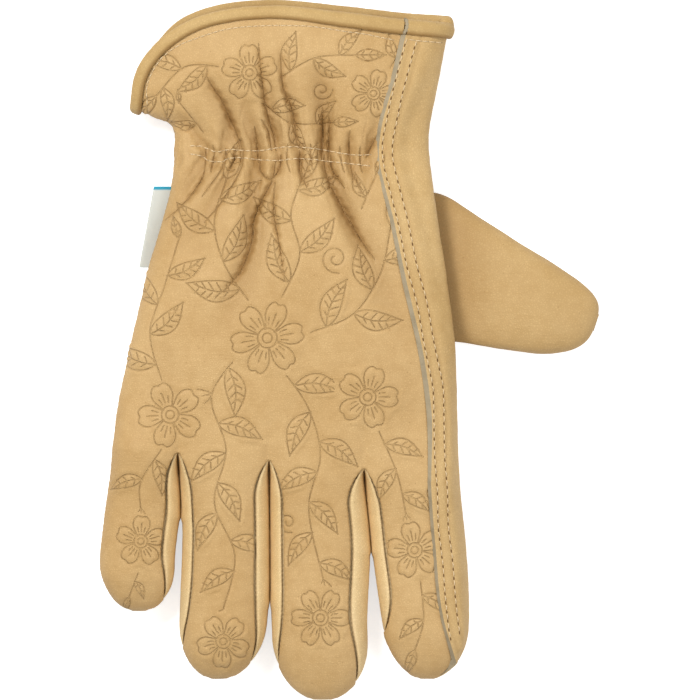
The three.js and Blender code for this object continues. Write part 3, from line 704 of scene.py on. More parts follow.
def hand_point(finger, s, k, side, depth):
    u = finger["middle_share"] + finger["half_share"] * s
    whole = 2 * u - 1
    fingers = 1 - smooth(k / CROTCH_REACH)
    x, y = hand_plan(k, u).T
    y = y + fingers * depth
    if side < 0:
        flare = smooth((k - FLARE_SECTION) / (RIM_SECTION - FLARE_SECTION))
        y = y + PALM_RIM_STEP * flare * smooth((x - PALM_RIM_FROM) / PALM_RIM_RUN)
    x = x - lerp(whole, s, fingers) * depth
    side_height = lerp(along(LEFT[:, 2], k), along(RIGHT[:, 2], k), u)
    share = lerp(superellipse(whole, HAND_FULLNESS), finger_profile(finger, s, 0), fingers)
    z = skin_height(side, share, side_height, along(TOP, k), max(0, along(FLOOR, k)), depth)
    if side > 0:
        z = z - gather_depth(x, y) * smooth(share * 2)
    else:
        z = np.maximum(z, np.minimum(thumb_ramp(x, y) + depth, side_height - GAP / 2))
    return np.stack([x, y, z], axis=1)


def finger_widths(finger, f):
    left = along(finger["left"], f * FINGER_SPANS)
    right = along(finger["right"], f * FINGER_SPANS)
    round_from = 1 - finger["round"] / finger["length"]
    tau = float(np.clip((f - round_from) / (1 - round_from), 0, 1))
    straight = (right - left) / 2
    narrows = math.sqrt(1 - (1 - TIP_NARROWS_TO**2) * tau**2)
    return (left + right) / 2, straight, straight * narrows, math.sqrt(1 - tau**2)


def finger_point(finger, s, f, side, depth):
    middle, _, wide, rise = finger_widths(finger, f)
    u = finger["middle_share"] + finger["half_share"] * s
    root = hand_plan(0, u)[:, 1]
    root_height = lerp(LEFT[0, 2], RIGHT[0, 2], u)
    side_height = lerp(root_height, FINGER_SIDE_HEIGHT, smooth(f * FINGER_SPANS))
    x = middle + s * np.maximum(wide - depth, wide * LEAST_WIDTH)
    y = lerp(root, finger["tip"], f) + depth
    share = finger_profile(finger, s, f) * rise
    z = skin_height(side, share, side_height, along(finger["top"], f * FINGER_SPANS), 0, depth)
    return np.stack([x, y, z], axis=1)


def skin_point(finger, s, place, side, depth=0.0):
    """Places in the hand are positive, in sections; places in a finger are negative shares."""
    s = np.atleast_1d(np.asarray(s, float))
    if place < 0:
        return finger_point(finger, s, -place, side, depth)
    return hand_point(finger, s, place, side, depth)


def seam_share(finger, which, f, side=1):
    """How far across its half a finger's back or palm reaches before the fourchette takes over."""
    inset = finger["seams"][which] + (PALM_INSET if side < 0 and finger["seams"][which] else 0)
    end = finger["closes"][which]
    if f >= end:
        return 1
    opens = 1 - (1 - min(f * finger["length"] / SEAM_OPENS_OVER, 1)) ** 2
    closing = min(max((f - SEAM_CLOSES_FROM) / (end - SEAM_CLOSES_FROM), 0), 1)
    closes = 1 - closing**SEAM_CLOSING
    return 1 - inset * opens * closes / finger_widths(finger, f)[2]


def lap_shares(place):
    """The overlapped seam on the index finger: its raw edge, the hidden edge under it, the half
    width here and how far the lap stands up."""
    if place >= 0:
        wide = HAND_WIDTH * INDEX["half_share"]
        raw = (along(LAP, place) - INDEX["middle_share"]) / INDEX["half_share"]
    else:
        _, straight, wide, _ = finger_widths(INDEX, -place)
        raw = along(INDEX["lap"], -place * FINGER_SPANS) * straight / wide
    edge = min(raw, LAP_LIMIT)
    under = lerp(LAP_WIDTH, -GAP, smooth((-place - LAP_ENDS[0]) / (LAP_ENDS[1] - LAP_ENDS[0])))
    rise = LAP_RISE * (1 - smooth((-place - LAP_ENDS[1]) / (1 - LAP_ENDS[1])))
    return edge, min(edge + under / wide, lerp(edge, 1, LAP_ROOM)), wide, rise


def wrap_lift(s, place):
    """How far the wrap stands up over the back's hidden edge, and how that fades beyond it."""
    _, hidden, wide, rise = lap_shares(place)
    blend = max(min(LAP_BLEND, (1 - hidden) * wide - GAP), 1)
    return rise * (1 - smooth(((s - hidden) * wide - GAP) / blend))


def wrap_point(s, place, depth):
    lift = wrap_lift(s, place)
    return skin_point(INDEX, s, place, 1, depth - lift)


# %% [markdown]
# ## Sheets of leather
# A panel is two skins a wall apart. The outer one is fine, because it carries every crease, and the
# inner one keeps only some of its rows and columns, because it is hardly seen. Around the open edges
# a strip of triangles zips the fine skin to the coarse one, so each panel is one closed body.


# %% Building closed sheets
FAR_AWAY = 9.0


def grid_quads(ids):
    return np.stack([ids[:-1, :-1], ids[:-1, 1:], ids[1:, 1:], ids[1:, :-1]], axis=-1).reshape(-1, 4)


def edge_loops(quads):
    """The open edges of a quad mesh, as loops of vertex numbers in the quads' own direction."""
    starts = quads.ravel()
    ends = np.roll(quads, -1, axis=1).ravel()
    size = quads.max() + 1
    one_way = set((starts.astype(np.int64) * size + ends).tolist())
    follow = {}
    for a, b in zip(starts.tolist(), ends.tolist()):
        if b * size + a not in one_way:
            follow[a] = b
    loops = []
    while follow:
        start, here = next(iter(follow.items()))
        del follow[start]
        loop = [start]
        while here != start:
            loop.append(here)
            here = follow.pop(here)
        loops.append(loop)
    return loops


def normals_of(points, quads):
    """Unit normals of a quad mesh's vertices."""
    corners = points[quads]
    faces = np.cross(corners[:, 2] - corners[:, 0], corners[:, 3] - corners[:, 1])
    total = np.zeros_like(points)
    for n in range(4):
        for axis in range(3):
            total[:, axis] += np.bincount(quads[:, n], weights=faces[:, axis], minlength=len(points))
    return total / np.maximum(np.linalg.norm(total, axis=1, keepdims=True), 1e-9)


def zipped(loop, kept, inner_of):
    """Triangles from a loop of the outer skin to the kept ones of its vertices on the inner skin."""
    first = next(i for i, v in enumerate(loop) if kept[v])
    loop = loop[first:] + loop[: first + 1]
    faces = []
    held = loop[0]
    for a, b in zip(loop, loop[1:]):
        faces.append((b, a, inner_of[held]))
        if kept[b]:
            faces.append((b, inner_of[held], inner_of[b]))
            held = b
    return faces


def mesh_object(name, points, faces, material, attributes, raw=None):
    """A mesh from points in millimetres, smooth except at sharp edges."""
    mesh = bpy.data.meshes.new(name)
    mesh.from_pydata((np.asarray(points) * MM).tolist(), [], faces)
    mesh.materials.append(material)
    mesh.shade_smooth()
    mesh.set_sharp_from_angle(angle=math.radians(50))
    for label, values in attributes.items():
        mesh.attributes.new(label, "FLOAT", "POINT").data.foreach_set("value", np.asarray(values, float))
    if raw is not None:
        mesh.attributes.new("raw", "FLOAT", "FACE").data.foreach_set("value", np.asarray(raw, float))
    made = bpy.data.objects.new(name, mesh)
    scene.collection.objects.link(made)
    return made


def shell(name, outer, inner, grids, thin_grids, material, attributes, open_edge=(), corners=None):
    """A closed sheet. grids hold the outer skin's vertex numbers, thin_grids the inner skin's, and
    open_edge the numbers along the edge that is left raw."""
    fine = np.vstack([grid_quads(ids) for ids in grids])
    coarse = np.vstack([grid_quads(ids) for ids in thin_grids])
    used = np.unique(coarse)
    kept = np.zeros(len(outer), bool)
    kept[used] = True
    inner_of = np.zeros(len(outer), int)
    inner_of[used] = len(outer) + np.arange(len(used))
    walls = [face for loop in edge_loops(fine) for face in zipped(loop, kept, inner_of)]
    faces = fine.tolist() + inner_of[coarse][:, ::-1].tolist() + walls
    raw_edge = set(int(v) for v in open_edge)
    wall_raw = [float(all(v in raw_edge for v in wall if v < len(outer))) for wall in walls]
    raw = np.concatenate([np.zeros(len(fine) + len(coarse)), wall_raw])
    points = np.vstack([outer, inner[used]])
    unmarked = np.zeros(len(used))
    extended = {label: np.concatenate([values, unmarked]) for label, values in attributes.items()}
    made = mesh_object(name, points, faces, material, extended, raw)
    for label, values in (corners or {}).items():
        every = np.full(len(made.data.loops), FAR_AWAY)
        every[: values.size] = values.ravel()
        made.data.attributes.new(label, "FLOAT", "CORNER").data.foreach_set("value", every)
    print(f"{name}: {2 * (len(fine) + len(coarse)) + len(walls)} triangles")
    return made


# %% [markdown]
# ## Rows and columns of a panel
# Rows are spaced evenly down the hand and each finger. Columns are spaced over each finger's share
# of the width, closer together at the side lines, where the leather turns down.


# %% Panels
def leaning(start, end, count):
    """Steps that crowd towards the start."""
    return lerp(start, end, 1 - np.cos(np.linspace(0, 1, count + 1) * math.pi / 2))


def hand_places(count):
    """Sections of the hand, evenly spaced in millimetres."""
    k = np.linspace(0, RIM_SECTION, 300)
    middle = np.array([hand_plan(place, np.array([0.5]))[0] for place in k])
    run = run_length(middle)
    return np.interp(np.linspace(0, run[-1], count + 1), run, k)


CROWDS_FROM = 0.6
CROWDS_OVER = 0.25


def panel_columns(finger, place, side, count):
    """Places across a finger's share, crowded at its side lines where the leather turns down."""
    f = max(0, -place)
    start = -seam_share(finger, 0, f, side)
    end = lap_shares(place)[1] if side > 0 and finger is INDEX else seam_share(finger, 1, f, side)
    shares = np.linspace(0, 1, count + 1)
    crowded = (1 - np.cos(math.pi * shares)) / 2
    if finger["seams"][0] == 0:
        shares = leaning(0, 1, count)
    elif side < 0 and finger["seams"][1] == 0:
        shares = 1 - leaning(0, 1, count)[::-1]
    return lerp(start, end, lerp(shares, crowded, smooth((f - CROWDS_FROM) / CROWDS_OVER)))


RAW_EDGE_SLOPE = 0.75


def wrap_columns(place, count, depth):
    """From the side line over the back to the raw edge, which slopes so that its cut wall shows."""
    raw, _, wide, rise = lap_shares(place)
    end = raw - RAW_EDGE_SLOPE * rise / LAP_RISE * (depth / WALL) / wide
    return lerp(1, end, np.linspace(0, 1, count + 1) ** 1.35)


def panel_row(finger, place, side, counts, depth):
    row = skin_point(finger, panel_columns(finger, place, side, counts[finger["name"]]), place, side, depth)
    if side > 0 or finger is not INDEX:
        return row
    return np.vstack([row, wrap_point(wrap_columns(place, counts["wrap"], depth), place, depth)])


def panel_skin(side, counts, hand_rows, finger_rows, depth):
    """All the points of one skin: the hand's rows, then each finger's rows from root to tip."""
    rows = [np.vstack([panel_row(finger, k, side, counts, depth) for finger in FINGERS]) for k in hand_rows]
    for finger in FINGERS:
        for f in np.linspace(0, 1, finger_rows[finger["name"]] + 1)[1:]:
            rows.append(panel_row(finger, -f, side, counts, depth))
    return np.vstack(rows)


def panel_ids(side, counts, hand_count, finger_rows, step):
    """Grids of vertex numbers for a panel, and the thinned grids of its inner skin. Also each
    finger's own grid from root to tip, for what is measured along its seams."""
    widths = [counts[f["name"]] + 1 + (counts["wrap"] + 1 if side < 0 and f is INDEX else 0) for f in FINGERS]
    starts = np.concatenate([[0], np.cumsum(widths)])
    hand = np.arange((hand_count + 1) * starts[-1]).reshape(hand_count + 1, -1)
    keep = []
    for finger, start in zip(FINGERS, starts):
        count = counts[finger["name"]]
        keep.extend(range(start, start + count + 1, step))
        if side < 0 and finger is INDEX:
            keep.extend(range(start + count + 1, start + count + 2 + counts["wrap"], step))
    grids, thin, lobes = [hand], [hand[::step][:, keep]], {}
    base = hand.size
    for n, finger in enumerate(FINGERS):
        rows = finger_rows[finger["name"]]
        own = base + np.arange(rows * widths[n]).reshape(rows, widths[n])
        base += own.size
        lobe = np.vstack([hand[0, starts[n] : starts[n + 1]][None], own])
        lobes[finger["name"]] = lobe
        grids.append(lobe[::-1])
        columns = [c - starts[n] for c in keep if starts[n] <= c < starts[n + 1]]
        thin.append(lobe[::step][:, columns][::-1])
    if side < 0:
        grids = [ids[:, ::-1] for ids in grids]
        thin = [ids[:, ::-1] for ids in thin]
    return grids, thin, hand, lobes


# %% [markdown]
# ## The pressed pattern
# The back is pressed with a line drawing of plants. This one is a design of its own: stems with
# broad alternate leaves and a tuft of small ones at the end, wild roses with one ring of petals,
# and curled tendrils. Each mark is a short polyline. A stem or a leaf stops at the edge of a rose.
# A leaf that would cover another one, and a tendril that would meet a leaf, are left out, so the
# lines never pile up.


# %% Marks of the pattern
def turned(points, x, y, angle):
    c, s = math.cos(math.radians(angle)), math.sin(math.radians(angle))
    across, up = np.asarray(points, float).T
    return np.stack([x + across * c - up * s, y + across * s + up * c], axis=1)


LEAF_WIDTH = 0.4
VEIN_SPACING = 2.6
VEIN_LEAN = 0.9


def leaf(x, y, angle, length, width, bend):
    """An oval leaf: two edges, a middle vein and side veins that stop short of the edge."""
    t = np.linspace(0, 1, 15)
    bow = bend * length * np.sin(math.pi * t)
    bulge = width / 2 * np.sin(math.pi * t**0.8)
    marks = [np.stack([t * length, bow + sign * bulge], axis=1) for sign in (-1, 1)]
    marks.append(np.stack([t * length * 0.86, bow], axis=1))
    for share in np.arange(0.18, 0.78, VEIN_SPACING / length):
        middle = bend * length * math.sin(math.pi * share)
        reach = width * 0.34 * math.sin(math.pi * share**0.8)
        start = share * length
        for sign in (-1, 1):
            tip = (start + VEIN_LEAN * reach, middle + sign * reach)
            marks.append(np.array([(start + 0.3 * reach, middle + sign * reach * 0.25), tip]))
    return [turned(mark, x, y, angle) for mark in marks]


def rose(x, y, radius, petals, angle):
    """A wild rose: one ring of notched petals round a double centre."""
    marks = []
    ring = radius * 0.26
    t = np.linspace(0, 1, 17)
    spread = 2 * math.pi / petals
    for n in range(petals):
        a = (t - 0.5) * spread * 0.94
        notch = 1 - 0.13 * np.exp(-(((t - 0.5) / 0.09) ** 2))
        far = ring + (radius - ring) * np.sin(math.pi * t) ** 0.45 * notch
        own = [np.stack([far * np.cos(a), far * np.sin(a)], axis=1)]
        for lean in (-0.3, 0.0, 0.3):
            reach = radius * (0.66 - abs(lean) * 0.5)
            own.append(np.array([(ring * 1.45, ring * lean * 1.4), (reach, reach * lean * 0.9)]))
        marks += [turned(turned(mark, 0, 0, math.degrees(spread) * n), x, y, angle) for mark in own]
    for size in (ring, ring * 0.5):
        circle = np.linspace(0, 2 * math.pi, 15)
        marks.append(np.stack([x + size * np.cos(circle), y + size * np.sin(circle)], axis=1))
    return marks


def tendril(x, y, angle, size, turns, hand):
    t = np.linspace(0, 1, 24)
    around = turns * 2 * math.pi * t
    away = size * (1 - 0.8 * t)
    curl = np.stack([size - away * np.cos(around), hand * away * np.sin(around)], axis=1)
    return turned(curl, x, y, angle)


def stem_leaves(stem, leaf_length, spacing):
    """The leaves of a stem, each as its base, heading, length and bend, with a tuft of three at the end."""
    run = run_length(stem)
    leaves = []
    sign = 1
    for place in np.arange(spacing * 0.5, run[-1] - spacing * 0.35, spacing):
        x, y = (np.interp(place, run, axis) for axis in stem.T)
        dx, dy = (np.interp(place + 1, run, axis) - np.interp(place - 1, run, axis) for axis in stem.T)
        heading = math.degrees(math.atan2(dy, dx)) + sign * 48
        leaves.append((x, y, heading, leaf_length * (1 - 0.25 * place / run[-1]), 0.09 * sign))
        sign = -sign
    dx, dy = stem[-1] - stem[-3]
    heading = math.degrees(math.atan2(dy, dx))
    for lean, share in ((0, 0.72), (34, 0.45), (-34, 0.45)):
        leaves.append((stem[-1, 0], stem[-1, 1], heading + lean, leaf_length * share, 0.0))
    return leaves


# %% The layout of the pattern
# stem points (x, y), leaf length, spacing
SPRAYS = [
    ([(-34, 16), (-43, 30), (-46, 44), (-42, 58)], 19, 11),
    ([(-23, 18), (-17, 32), (-20, 46), (-16, 58)], 18, 11),
    ([(-13, 6), (1, 12), (10, 25), (14, 42)], 18, 10.5),
    ([(-64, -10), (-68, 6), (-63, 22), (-58, 38)], 17, 10.5),
    ([(-22, -8), (-14, -20), (-10, -36), (-14, -54), (-9, -78)], 17, 10.5),
    ([(10, -28), (16, -42), (19, -56)], 14, 9),
    ([(-64, -34), (-71, -45), (-71, -54)], 13, 8),
    ([(-38, -2), (-47, -16), (-42, -34), (-46, -52), (-39, -70), (-43, -88)], 17, 10.5),
    ([(-44, 96), (-56, 96), (-66, 86)], 14, 9),
    ([(-24, 92), (-12, 99), (2, 100)], 14, 9),
    ([(-30, 84), (-20, 77), (-6, 77)], 12, 8.5),
    ([(14, 96), (20, 106)], 9, 7),
    ([(4, 48), (9, 60)], 10, 8),
    ([(-72, -76), (-75, -84)], 7, 6),
    ([(24, -79), (25, -92), (22, -102)], 12, 8.5),
    ([(-50, 74), (-58, 84)], 9, 7),
]
# x, y, radius, petals, angle
ROSES = [
    (-28, 4, 13, 6, 10),
    (-61, -22, 11.5, 5, 40),
    (6, -16, 11, 5, 0),
    (-34, 94, 10, 5, 20),
    (-71, -65, 9, 5, 15),
    (-43, -99, 9.5, 5, 50),
    (-10, -91, 10.5, 6, 0),
    (22, -68, 10, 5, 30),
    (8, 87, 8.5, 5, 0),
]
# x, y, angle, size, turns, hand
TENDRILS = [
    (-52, 2, 120, 5, 1.4, 1),
    (-30, 26, 80, 4.5, 1.4, -1),
    (-4, 26, 100, 5, 1.4, 1),
    (-46, -6, 250, 4.5, 1.3, -1),
    (0, -34, 260, 4.5, 1.3, 1),
    (-68, -2, 110, 4, 1.3, 1),
    (-6, 88, 180, 3.5, 1.3, 1),
    (-52, -66, 120, 3.6, 1.3, 1),
    (-20, -62, 110, 3.6, 1.3, 1),
    (30, -46, 250, 3.2, 1.3, -1),
]
ROSE_MARGIN = 0.8
LEAF_ROOM = 0.52
TENDRIL_ROOM = 0.3


def outside_roses(mark):
    """A mark's longest run of points that lie outside every rose."""
    hidden = np.zeros(len(mark), bool)
    for x, y, radius, _, _ in ROSES:
        hidden |= np.hypot(mark[:, 0] - x, mark[:, 1] - y) < radius + ROSE_MARGIN
    runs = np.split(np.arange(len(mark)), np.nonzero(np.diff(hidden.astype(int)))[0] + 1)
    shown = [run for run in runs if not hidden[run[0]]]
    longest = max(shown, key=len, default=[])
    return mark[longest] if len(longest) > 1 else None


def pattern_marks():
    stems = [curve_through(points) for points, _, _ in SPRAYS]
    marks = list(stems)
    placed, leaves = [], []
    for stem, (_, leaf_length, spacing) in zip(stems, SPRAYS):
        for x, y, heading, length, bend in stem_leaves(stem, leaf_length, spacing):
            middle = turned([(length * 0.55, 0)], x, y, heading)[0]
            crowded = any(
                np.hypot(*(middle - other)) < LEAF_ROOM * (length + size) / 2 for other, size in placed
            )
            if not crowded:
                placed.append((middle, length))
                leaves.append((x, y, heading, length))
                marks += leaf(x, y, heading, length, length * LEAF_WIDTH, bend)
    for x, y, angle, size, turns, hand in TENDRILS:
        middle = turned([(size, 0)], x, y, angle)[0]
        if all(np.hypot(*(middle - other)) > size + TENDRIL_ROOM * length for other, length in placed):
            marks.append(tendril(x, y, angle, size, turns, hand))
    marks = [shown for shown in map(outside_roses, marks) if shown is not None]
    for row in ROSES:
        marks += rose(*row)
    print(f"pattern: {len(placed)} leaves, {len(ROSES)} roses, {len(marks)} lines")
    return marks, leaves


MARKS, LEAVES = pattern_marks()

# %% Distances to lines
MARK_REACH = 2.0
FACE_REACH = 0.9


def nearest(points, line):
    """For points in plan: the signed distance to a polyline and the place along it, 0 to 1."""
    a, b = line[:-1], line[1:]
    step = b - a
    length = np.maximum((step**2).sum(axis=1), 1e-9)
    away = points[:, None] - a[None]
    share = np.clip((away * step).sum(axis=2) / length, 0, 1)
    offset = away - share[..., None] * step
    squared = (offset**2).sum(axis=2)
    best = squared.argmin(axis=1)
    rows = np.arange(len(points))
    side = step[best, 0] * away[rows, best, 1] - step[best, 1] * away[rows, best, 0]
    place = (best + share[rows, best]) / len(step)
    return np.sqrt(squared[rows, best]) * np.where(side < 0, -1, 1), place


def close_to(points, line, reach):
    low, high = line.min(axis=0) - reach, line.max(axis=0) + reach
    return np.nonzero(((points > low) & (points < high)).all(axis=1))[0]


def pressed_lines(plan):
    """The distance to the pattern at each point, in millimetres."""
    away = np.full(len(plan), MARK_REACH)
    for mark in MARKS:
        chosen = close_to(plan, mark, MARK_REACH)
        if len(chosen):
            distance, _ = nearest(plan[chosen], mark)
            away[chosen] = np.minimum(away[chosen], np.abs(distance))
    return away


LEAF_RISE = 0.5
ROSE_RISE = 0.55


def pattern_relief(plan):
    """How far the leaves and roses stand up at each point, most along their middles."""
    total = np.zeros(len(plan))
    for x, y, heading, length in LEAVES:
        chosen = close_to(plan, np.array([(x, y)]), length)
        local = turned(plan[chosen] - (x, y), 0, 0, -heading)
        away = (local[:, 0] * 2 / length - 1) ** 2 + (local[:, 1] * 2 / (length * LEAF_WIDTH)) ** 2
        total[chosen] = np.maximum(total[chosen], LEAF_RISE * np.clip(1 - away, 0, 1) ** 0.5)
    for x, y, radius, _, _ in ROSES:
        away = ((plan - (x, y)) ** 2).sum(axis=1) / radius**2
        total = np.maximum(total, ROSE_RISE * np.clip(1 - away, 0, 1) ** 0.5)
    return total


def lines_on_faces(plan, quads, marks):
    """For the two marks nearest to each face: the signed distance of each of its corners. Each
    face measures to one and the same mark, so its straight blend between corners is exact."""
    centres = plan[quads].mean(axis=1)
    closest = np.full((2, len(quads)), FACE_REACH)
    signed = np.full((2, len(quads), 4), FAR_AWAY)
    for mark in marks:
        chosen = close_to(centres, mark, FACE_REACH)
        if not len(chosen):
            continue
        distance = np.abs(nearest(centres[chosen], mark)[0])
        chosen, distance = chosen[distance < closest[1, chosen]], distance[distance < closest[1, chosen]]
        if not len(chosen):
            continue
        corners = nearest(plan[quads[chosen]].reshape(-1, 2), mark)[0].reshape(-1, 4)
        best = distance < closest[0, chosen]
        first, second = chosen[best], chosen[~best]
        closest[1, first], signed[1, first] = closest[0, first], signed[0, first]
        closest[0, first], signed[0, first] = distance[best], corners[best]
        closest[1, second], signed[1, second] = distance[~best], corners[~best]
    return signed


# %% [markdown]
# ## Creases and folds
# The shirred wrist gathers the back into deep valleys, and each valley has sharp creases in it. They
# are drawn as short lines where the photograph shows them, each with a depth and a width, and press
# the leather inwards along its own normal. Two noises add what no line describes: a slow one for
# the soft unevenness of worn leather, and a finer one for its small dimples.

# %% Creases
CREASE_STRENGTH = 1.8
CREASE_ROOM = 1.8
# depth, width, points on the picture
CREASES = [
    (1.0, 1.0, [(207, 78), (213, 88), (222, 101), (231, 121), (237, 135), (241, 150)]),
    (0.8, 0.9, [(259, 45), (261, 73), (267, 112), (274, 134), (276, 150)]),
    (0.7, 0.8, [(262, 121), (269, 132), (272, 150)]),
    (0.9, 0.9, [(281, 56), (283, 86), (293, 113), (297, 145)]),
    (0.6, 0.7, [(255, 128), (257, 145), (259, 162)]),
    (0.9, 0.7, [(322, 112), (323, 132), (322, 160)]),
    (0.8, 0.7, [(329, 118), (329, 140), (328, 162)]),
    (0.5, 0.7, [(350, 132), (349, 143), (350, 160)]),
    (0.6, 0.8, [(377, 136), (372, 146), (366, 158)]),
    (0.7, 0.8, [(206, 150), (206, 160), (202, 180), (185, 203), (166, 220)]),
    (0.7, 0.8, [(226, 150), (225, 164), (215, 180), (203, 196)]),
    (0.6, 0.7, [(243, 150), (242, 164), (236, 180), (222, 202), (206, 222)]),
    (0.8, 0.8, [(260, 158), (261, 172), (271, 180), (280, 168), (281, 156)]),
    (1.2, 1.1, [(276, 163), (272, 182), (263, 200), (254, 222), (252, 243), (241, 272), (224, 291)]),
    (0.8, 0.9, [(275, 184), (274, 214), (280, 247), (285, 280)]),
    (0.6, 0.7, [(300, 152), (301, 170), (306, 186)]),
    (1.0, 0.9, [(324, 156), (327, 176), (337, 198), (350, 222), (361, 241), (374, 259)]),
    (0.7, 0.7, [(330, 156), (333, 172), (344, 188)]),
    (0.5, 0.7, [(350, 158), (353, 175), (362, 190)]),
    (0.5, 0.6, [(213, 146), (214, 158), (211, 172)]),
    (0.5, 0.6, [(235, 146), (234, 160), (230, 172)]),
    (0.5, 0.6, [(288, 146), (287, 160), (290, 172)]),
    (0.5, 0.6, [(311, 146), (311, 158), (313, 170)]),
    (0.5, 0.6, [(340, 148), (341, 160), (344, 172)]),
    (0.5, 0.6, [(360, 148), (360, 160), (362, 172)]),
]
# the two rows of stitches over the elastic
ELASTIC_ROWS = [
    [
        (188, 146), (202, 147), (217, 152), (229, 150), (258, 151),
        (290, 147), (322, 150), (350, 155), (374, 155),
    ],
    [
        (188, 154), (201, 156), (209, 161), (223, 162), (234, 158),
        (273, 161), (299, 159), (322, 161), (376, 167),
    ],
]
# wide, shallow folds of the hand
FOLDS = [
    (2.2, 5.0, [(276, 180), (262, 215), (250, 255), (238, 290), (222, 320)]),
    (1.7, 4.5, [(335, 185), (352, 222), (372, 258), (388, 300), (404, 340)]),
    (1.2, 4.0, [(232, 180), (205, 215), (178, 250)]),
    (1.5, 4.0, [(205, 80), (222, 105), (240, 140)]),
    (1.3, 4.0, [(318, 60), (322, 95), (324, 140)]),
    (1.2, 3.0, [(262, 70), (270, 110), (276, 146)]),
    (0.6, 6.0, [(150, 330), (170, 380), (168, 430)]),
    (0.5, 6.0, [(410, 380), (405, 430), (400, 480)]),
    (1.2, 2.6, [(168, 119), (192, 126), (208, 137), (218, 148)]),
]


def photo_curves(table):
    return [(depth, width, curve_through(from_photo(points))) for depth, width, points in table]


WRINKLE_SHARES = (0.35, 0.55, 0.8)


def fine_wrinkles():
    """Shallow wrinkles on both sides of each gather, above and below the elastic."""
    chance = random.Random(5)
    wrinkles = []
    for at, _, width, up, up_drift, down, down_drift in GATHERS:
        for away, drift, sign in ((up, up_drift, 1), (down, down_drift, -1)):
            for beside in (-1.1, -0.5, 0.6, 1.2):
                reach = chance.choice(WRINKLE_SHARES) * chance.uniform(0.8, 1.1)
                start = chance.uniform(0.05, 0.2)
                spread = chance.uniform(0.9, 1.6)
                shares = np.linspace(start, reach, 5)
                x = at + beside * width * (1 + spread * (shares - start)) + drift * shares
                x = x + np.array([chance.uniform(-0.25, 0.25) for _ in shares])
                y = ELASTIC_Y + ELASTIC_SLOPE * at + sign * away * shares
                depth = chance.uniform(0.2, 0.42)
                fineness = chance.uniform(0.4, 0.6)
                wrinkles.append((depth, fineness, np.stack([x, y], axis=1)))
    return [(depth, width, curve_through(points)) for depth, width, points in wrinkles]


def line_depth(plan, curves, wobble=0.0):
    """How far some lines press the leather in at each point of the plan."""
    total = np.zeros(len(plan))
    for depth, width, line in curves:
        chosen = close_to(plan, line, width * 2.6)
        if not len(chosen):
            continue
        distance, place = nearest(plan[chosen], line)
        if wobble:
            distance = distance + wobble * np.sin(plan[chosen, 1] * 1.9 + depth * 40)
        taper = np.sin(math.pi * np.clip(place, 0.02, 0.98)) ** 0.6
        total[chosen] = np.maximum(total[chosen], depth * taper * np.exp(-((distance / width) ** 2)))
    return total


def dimples(points, size, seed):
    """Smooth noise from about -1 to 1 at points in millimetres."""
    return np.array([noise.noise(Vector(p)) for p in (points / size + seed).tolist()])


EVEN = (1, 1, 1)


def unevenness(points, rows):
    """The sum of some noises, each given as its height, size, seed and squeeze along the axes."""
    return sum(
        height * dimples(points * np.array(squeeze), size, seed) for height, size, seed, squeeze in rows
    )


def seam_roll(distance, radius):
    """How far the leather has turned in at a distance from the edge of a turned seam."""
    share = np.clip(1 - distance / radius, 0, 1)
    return radius * (1 - np.sqrt(1 - share**2))


def distances_to_ends(points, ids):
    """Along each row of a grid, the distance to its first and its last column."""
    rows = points[ids]
    steps = np.linalg.norm(np.diff(rows, axis=1), axis=2)
    from_first = np.concatenate([np.zeros((len(ids), 1)), np.cumsum(steps, axis=1)], axis=1)
    return from_first, from_first[:, -1:] - from_first


# %% [markdown]
# ## The back panel
# It is the embossed leather, from the rim to the fingertips. Its outer skin has a vertex about
# every half millimetre. The seams of the fingers are turned: the edge rolls in, and each stitch of
# the hidden seam pulls a small pucker.

# %% The back panel
BACK_COUNTS = {"little": 40, "ring": 56, "middle": 56, "index": 52, "wrap": 0}
BACK_HAND_ROWS = 264
BACK_FINGER_ROWS = {"little": 96, "ring": 136, "middle": 148, "index": 136}
BACK_STEP = 4
SEAM_ROLL = 1.0
SEAM_DEEPEST = 1.05
SEAM_SHADE = 0.34
SEAM_STITCH = 1.5
PUCKER_PITCH = 2.1
PUCKER_DEPTH = 0.2
PUCKER_REACH = 1.3
PRESS_DEPTH = 0.26
PRESS_WIDTH = 0.55
RIDGE_HEIGHT = 0.1
RIDGE_AT = 1.3
RIDGE_WIDTH = 0.6
PUFF_HEIGHT = 1.0
PUFF_REACH = 9
FULL_GATHER = 1.3
ROW_DIP = 0.5
ROW_DIP_WIDTH = 0.9
CREASE_WOBBLE = 0.22
# noises: height, size, seed, squeeze along the axes
BACK_UNEVEN = [(0.32, 13.0, 3.1, EVEN), (0.12, 4.2, 8.7, EVEN)]
CRUMPLE = [(0.5, 1.7, 5.5, (1, 0.35, 1))]
BACK_FADE_FROM = 6
BACK_FADE_OVER = 4
# a gather this deep gets all of the painted shade and handled tone, and the other forms add these shares
FULL_SHADE_GATHER = 3.6
CREASE_SHARE = 0.4
FOLD_SHARE = 0.2
CRUMPLE_SHARE = 0.5


def puckered(distance, y):
    """Puckers that fade away from a seam."""
    wave = 0.5 + 0.5 * np.cos(2 * math.pi * y / PUCKER_PITCH)
    return PUCKER_DEPTH * np.exp(-distance / PUCKER_REACH) * wave


def seam_distance(points, lobe, sides):
    """How far each vertex of a finger's grid lies from the seams at the finger's sides."""
    away = np.full(lobe.shape, FAR_AWAY)
    for distance, seamed in zip(distances_to_ends(points, lobe), sides):
        if seamed:
            away = np.minimum(away, distance)
    return away


def seams_of(points, hand, lobes):
    """How far each vertex of a panel lies from its finger seams and from the seam down its side."""
    away = np.full(len(points), FAR_AWAY)
    for finger in FINGERS:
        sides = (finger["seams"][0] > 0 or finger["name"] == "little", finger is not INDEX)
        away[lobes[finger["name"]]] = seam_distance(points, lobes[finger["name"]], sides)
    first, _ = distances_to_ends(points, hand)
    away[hand] = np.minimum(away[hand], first)
    return away


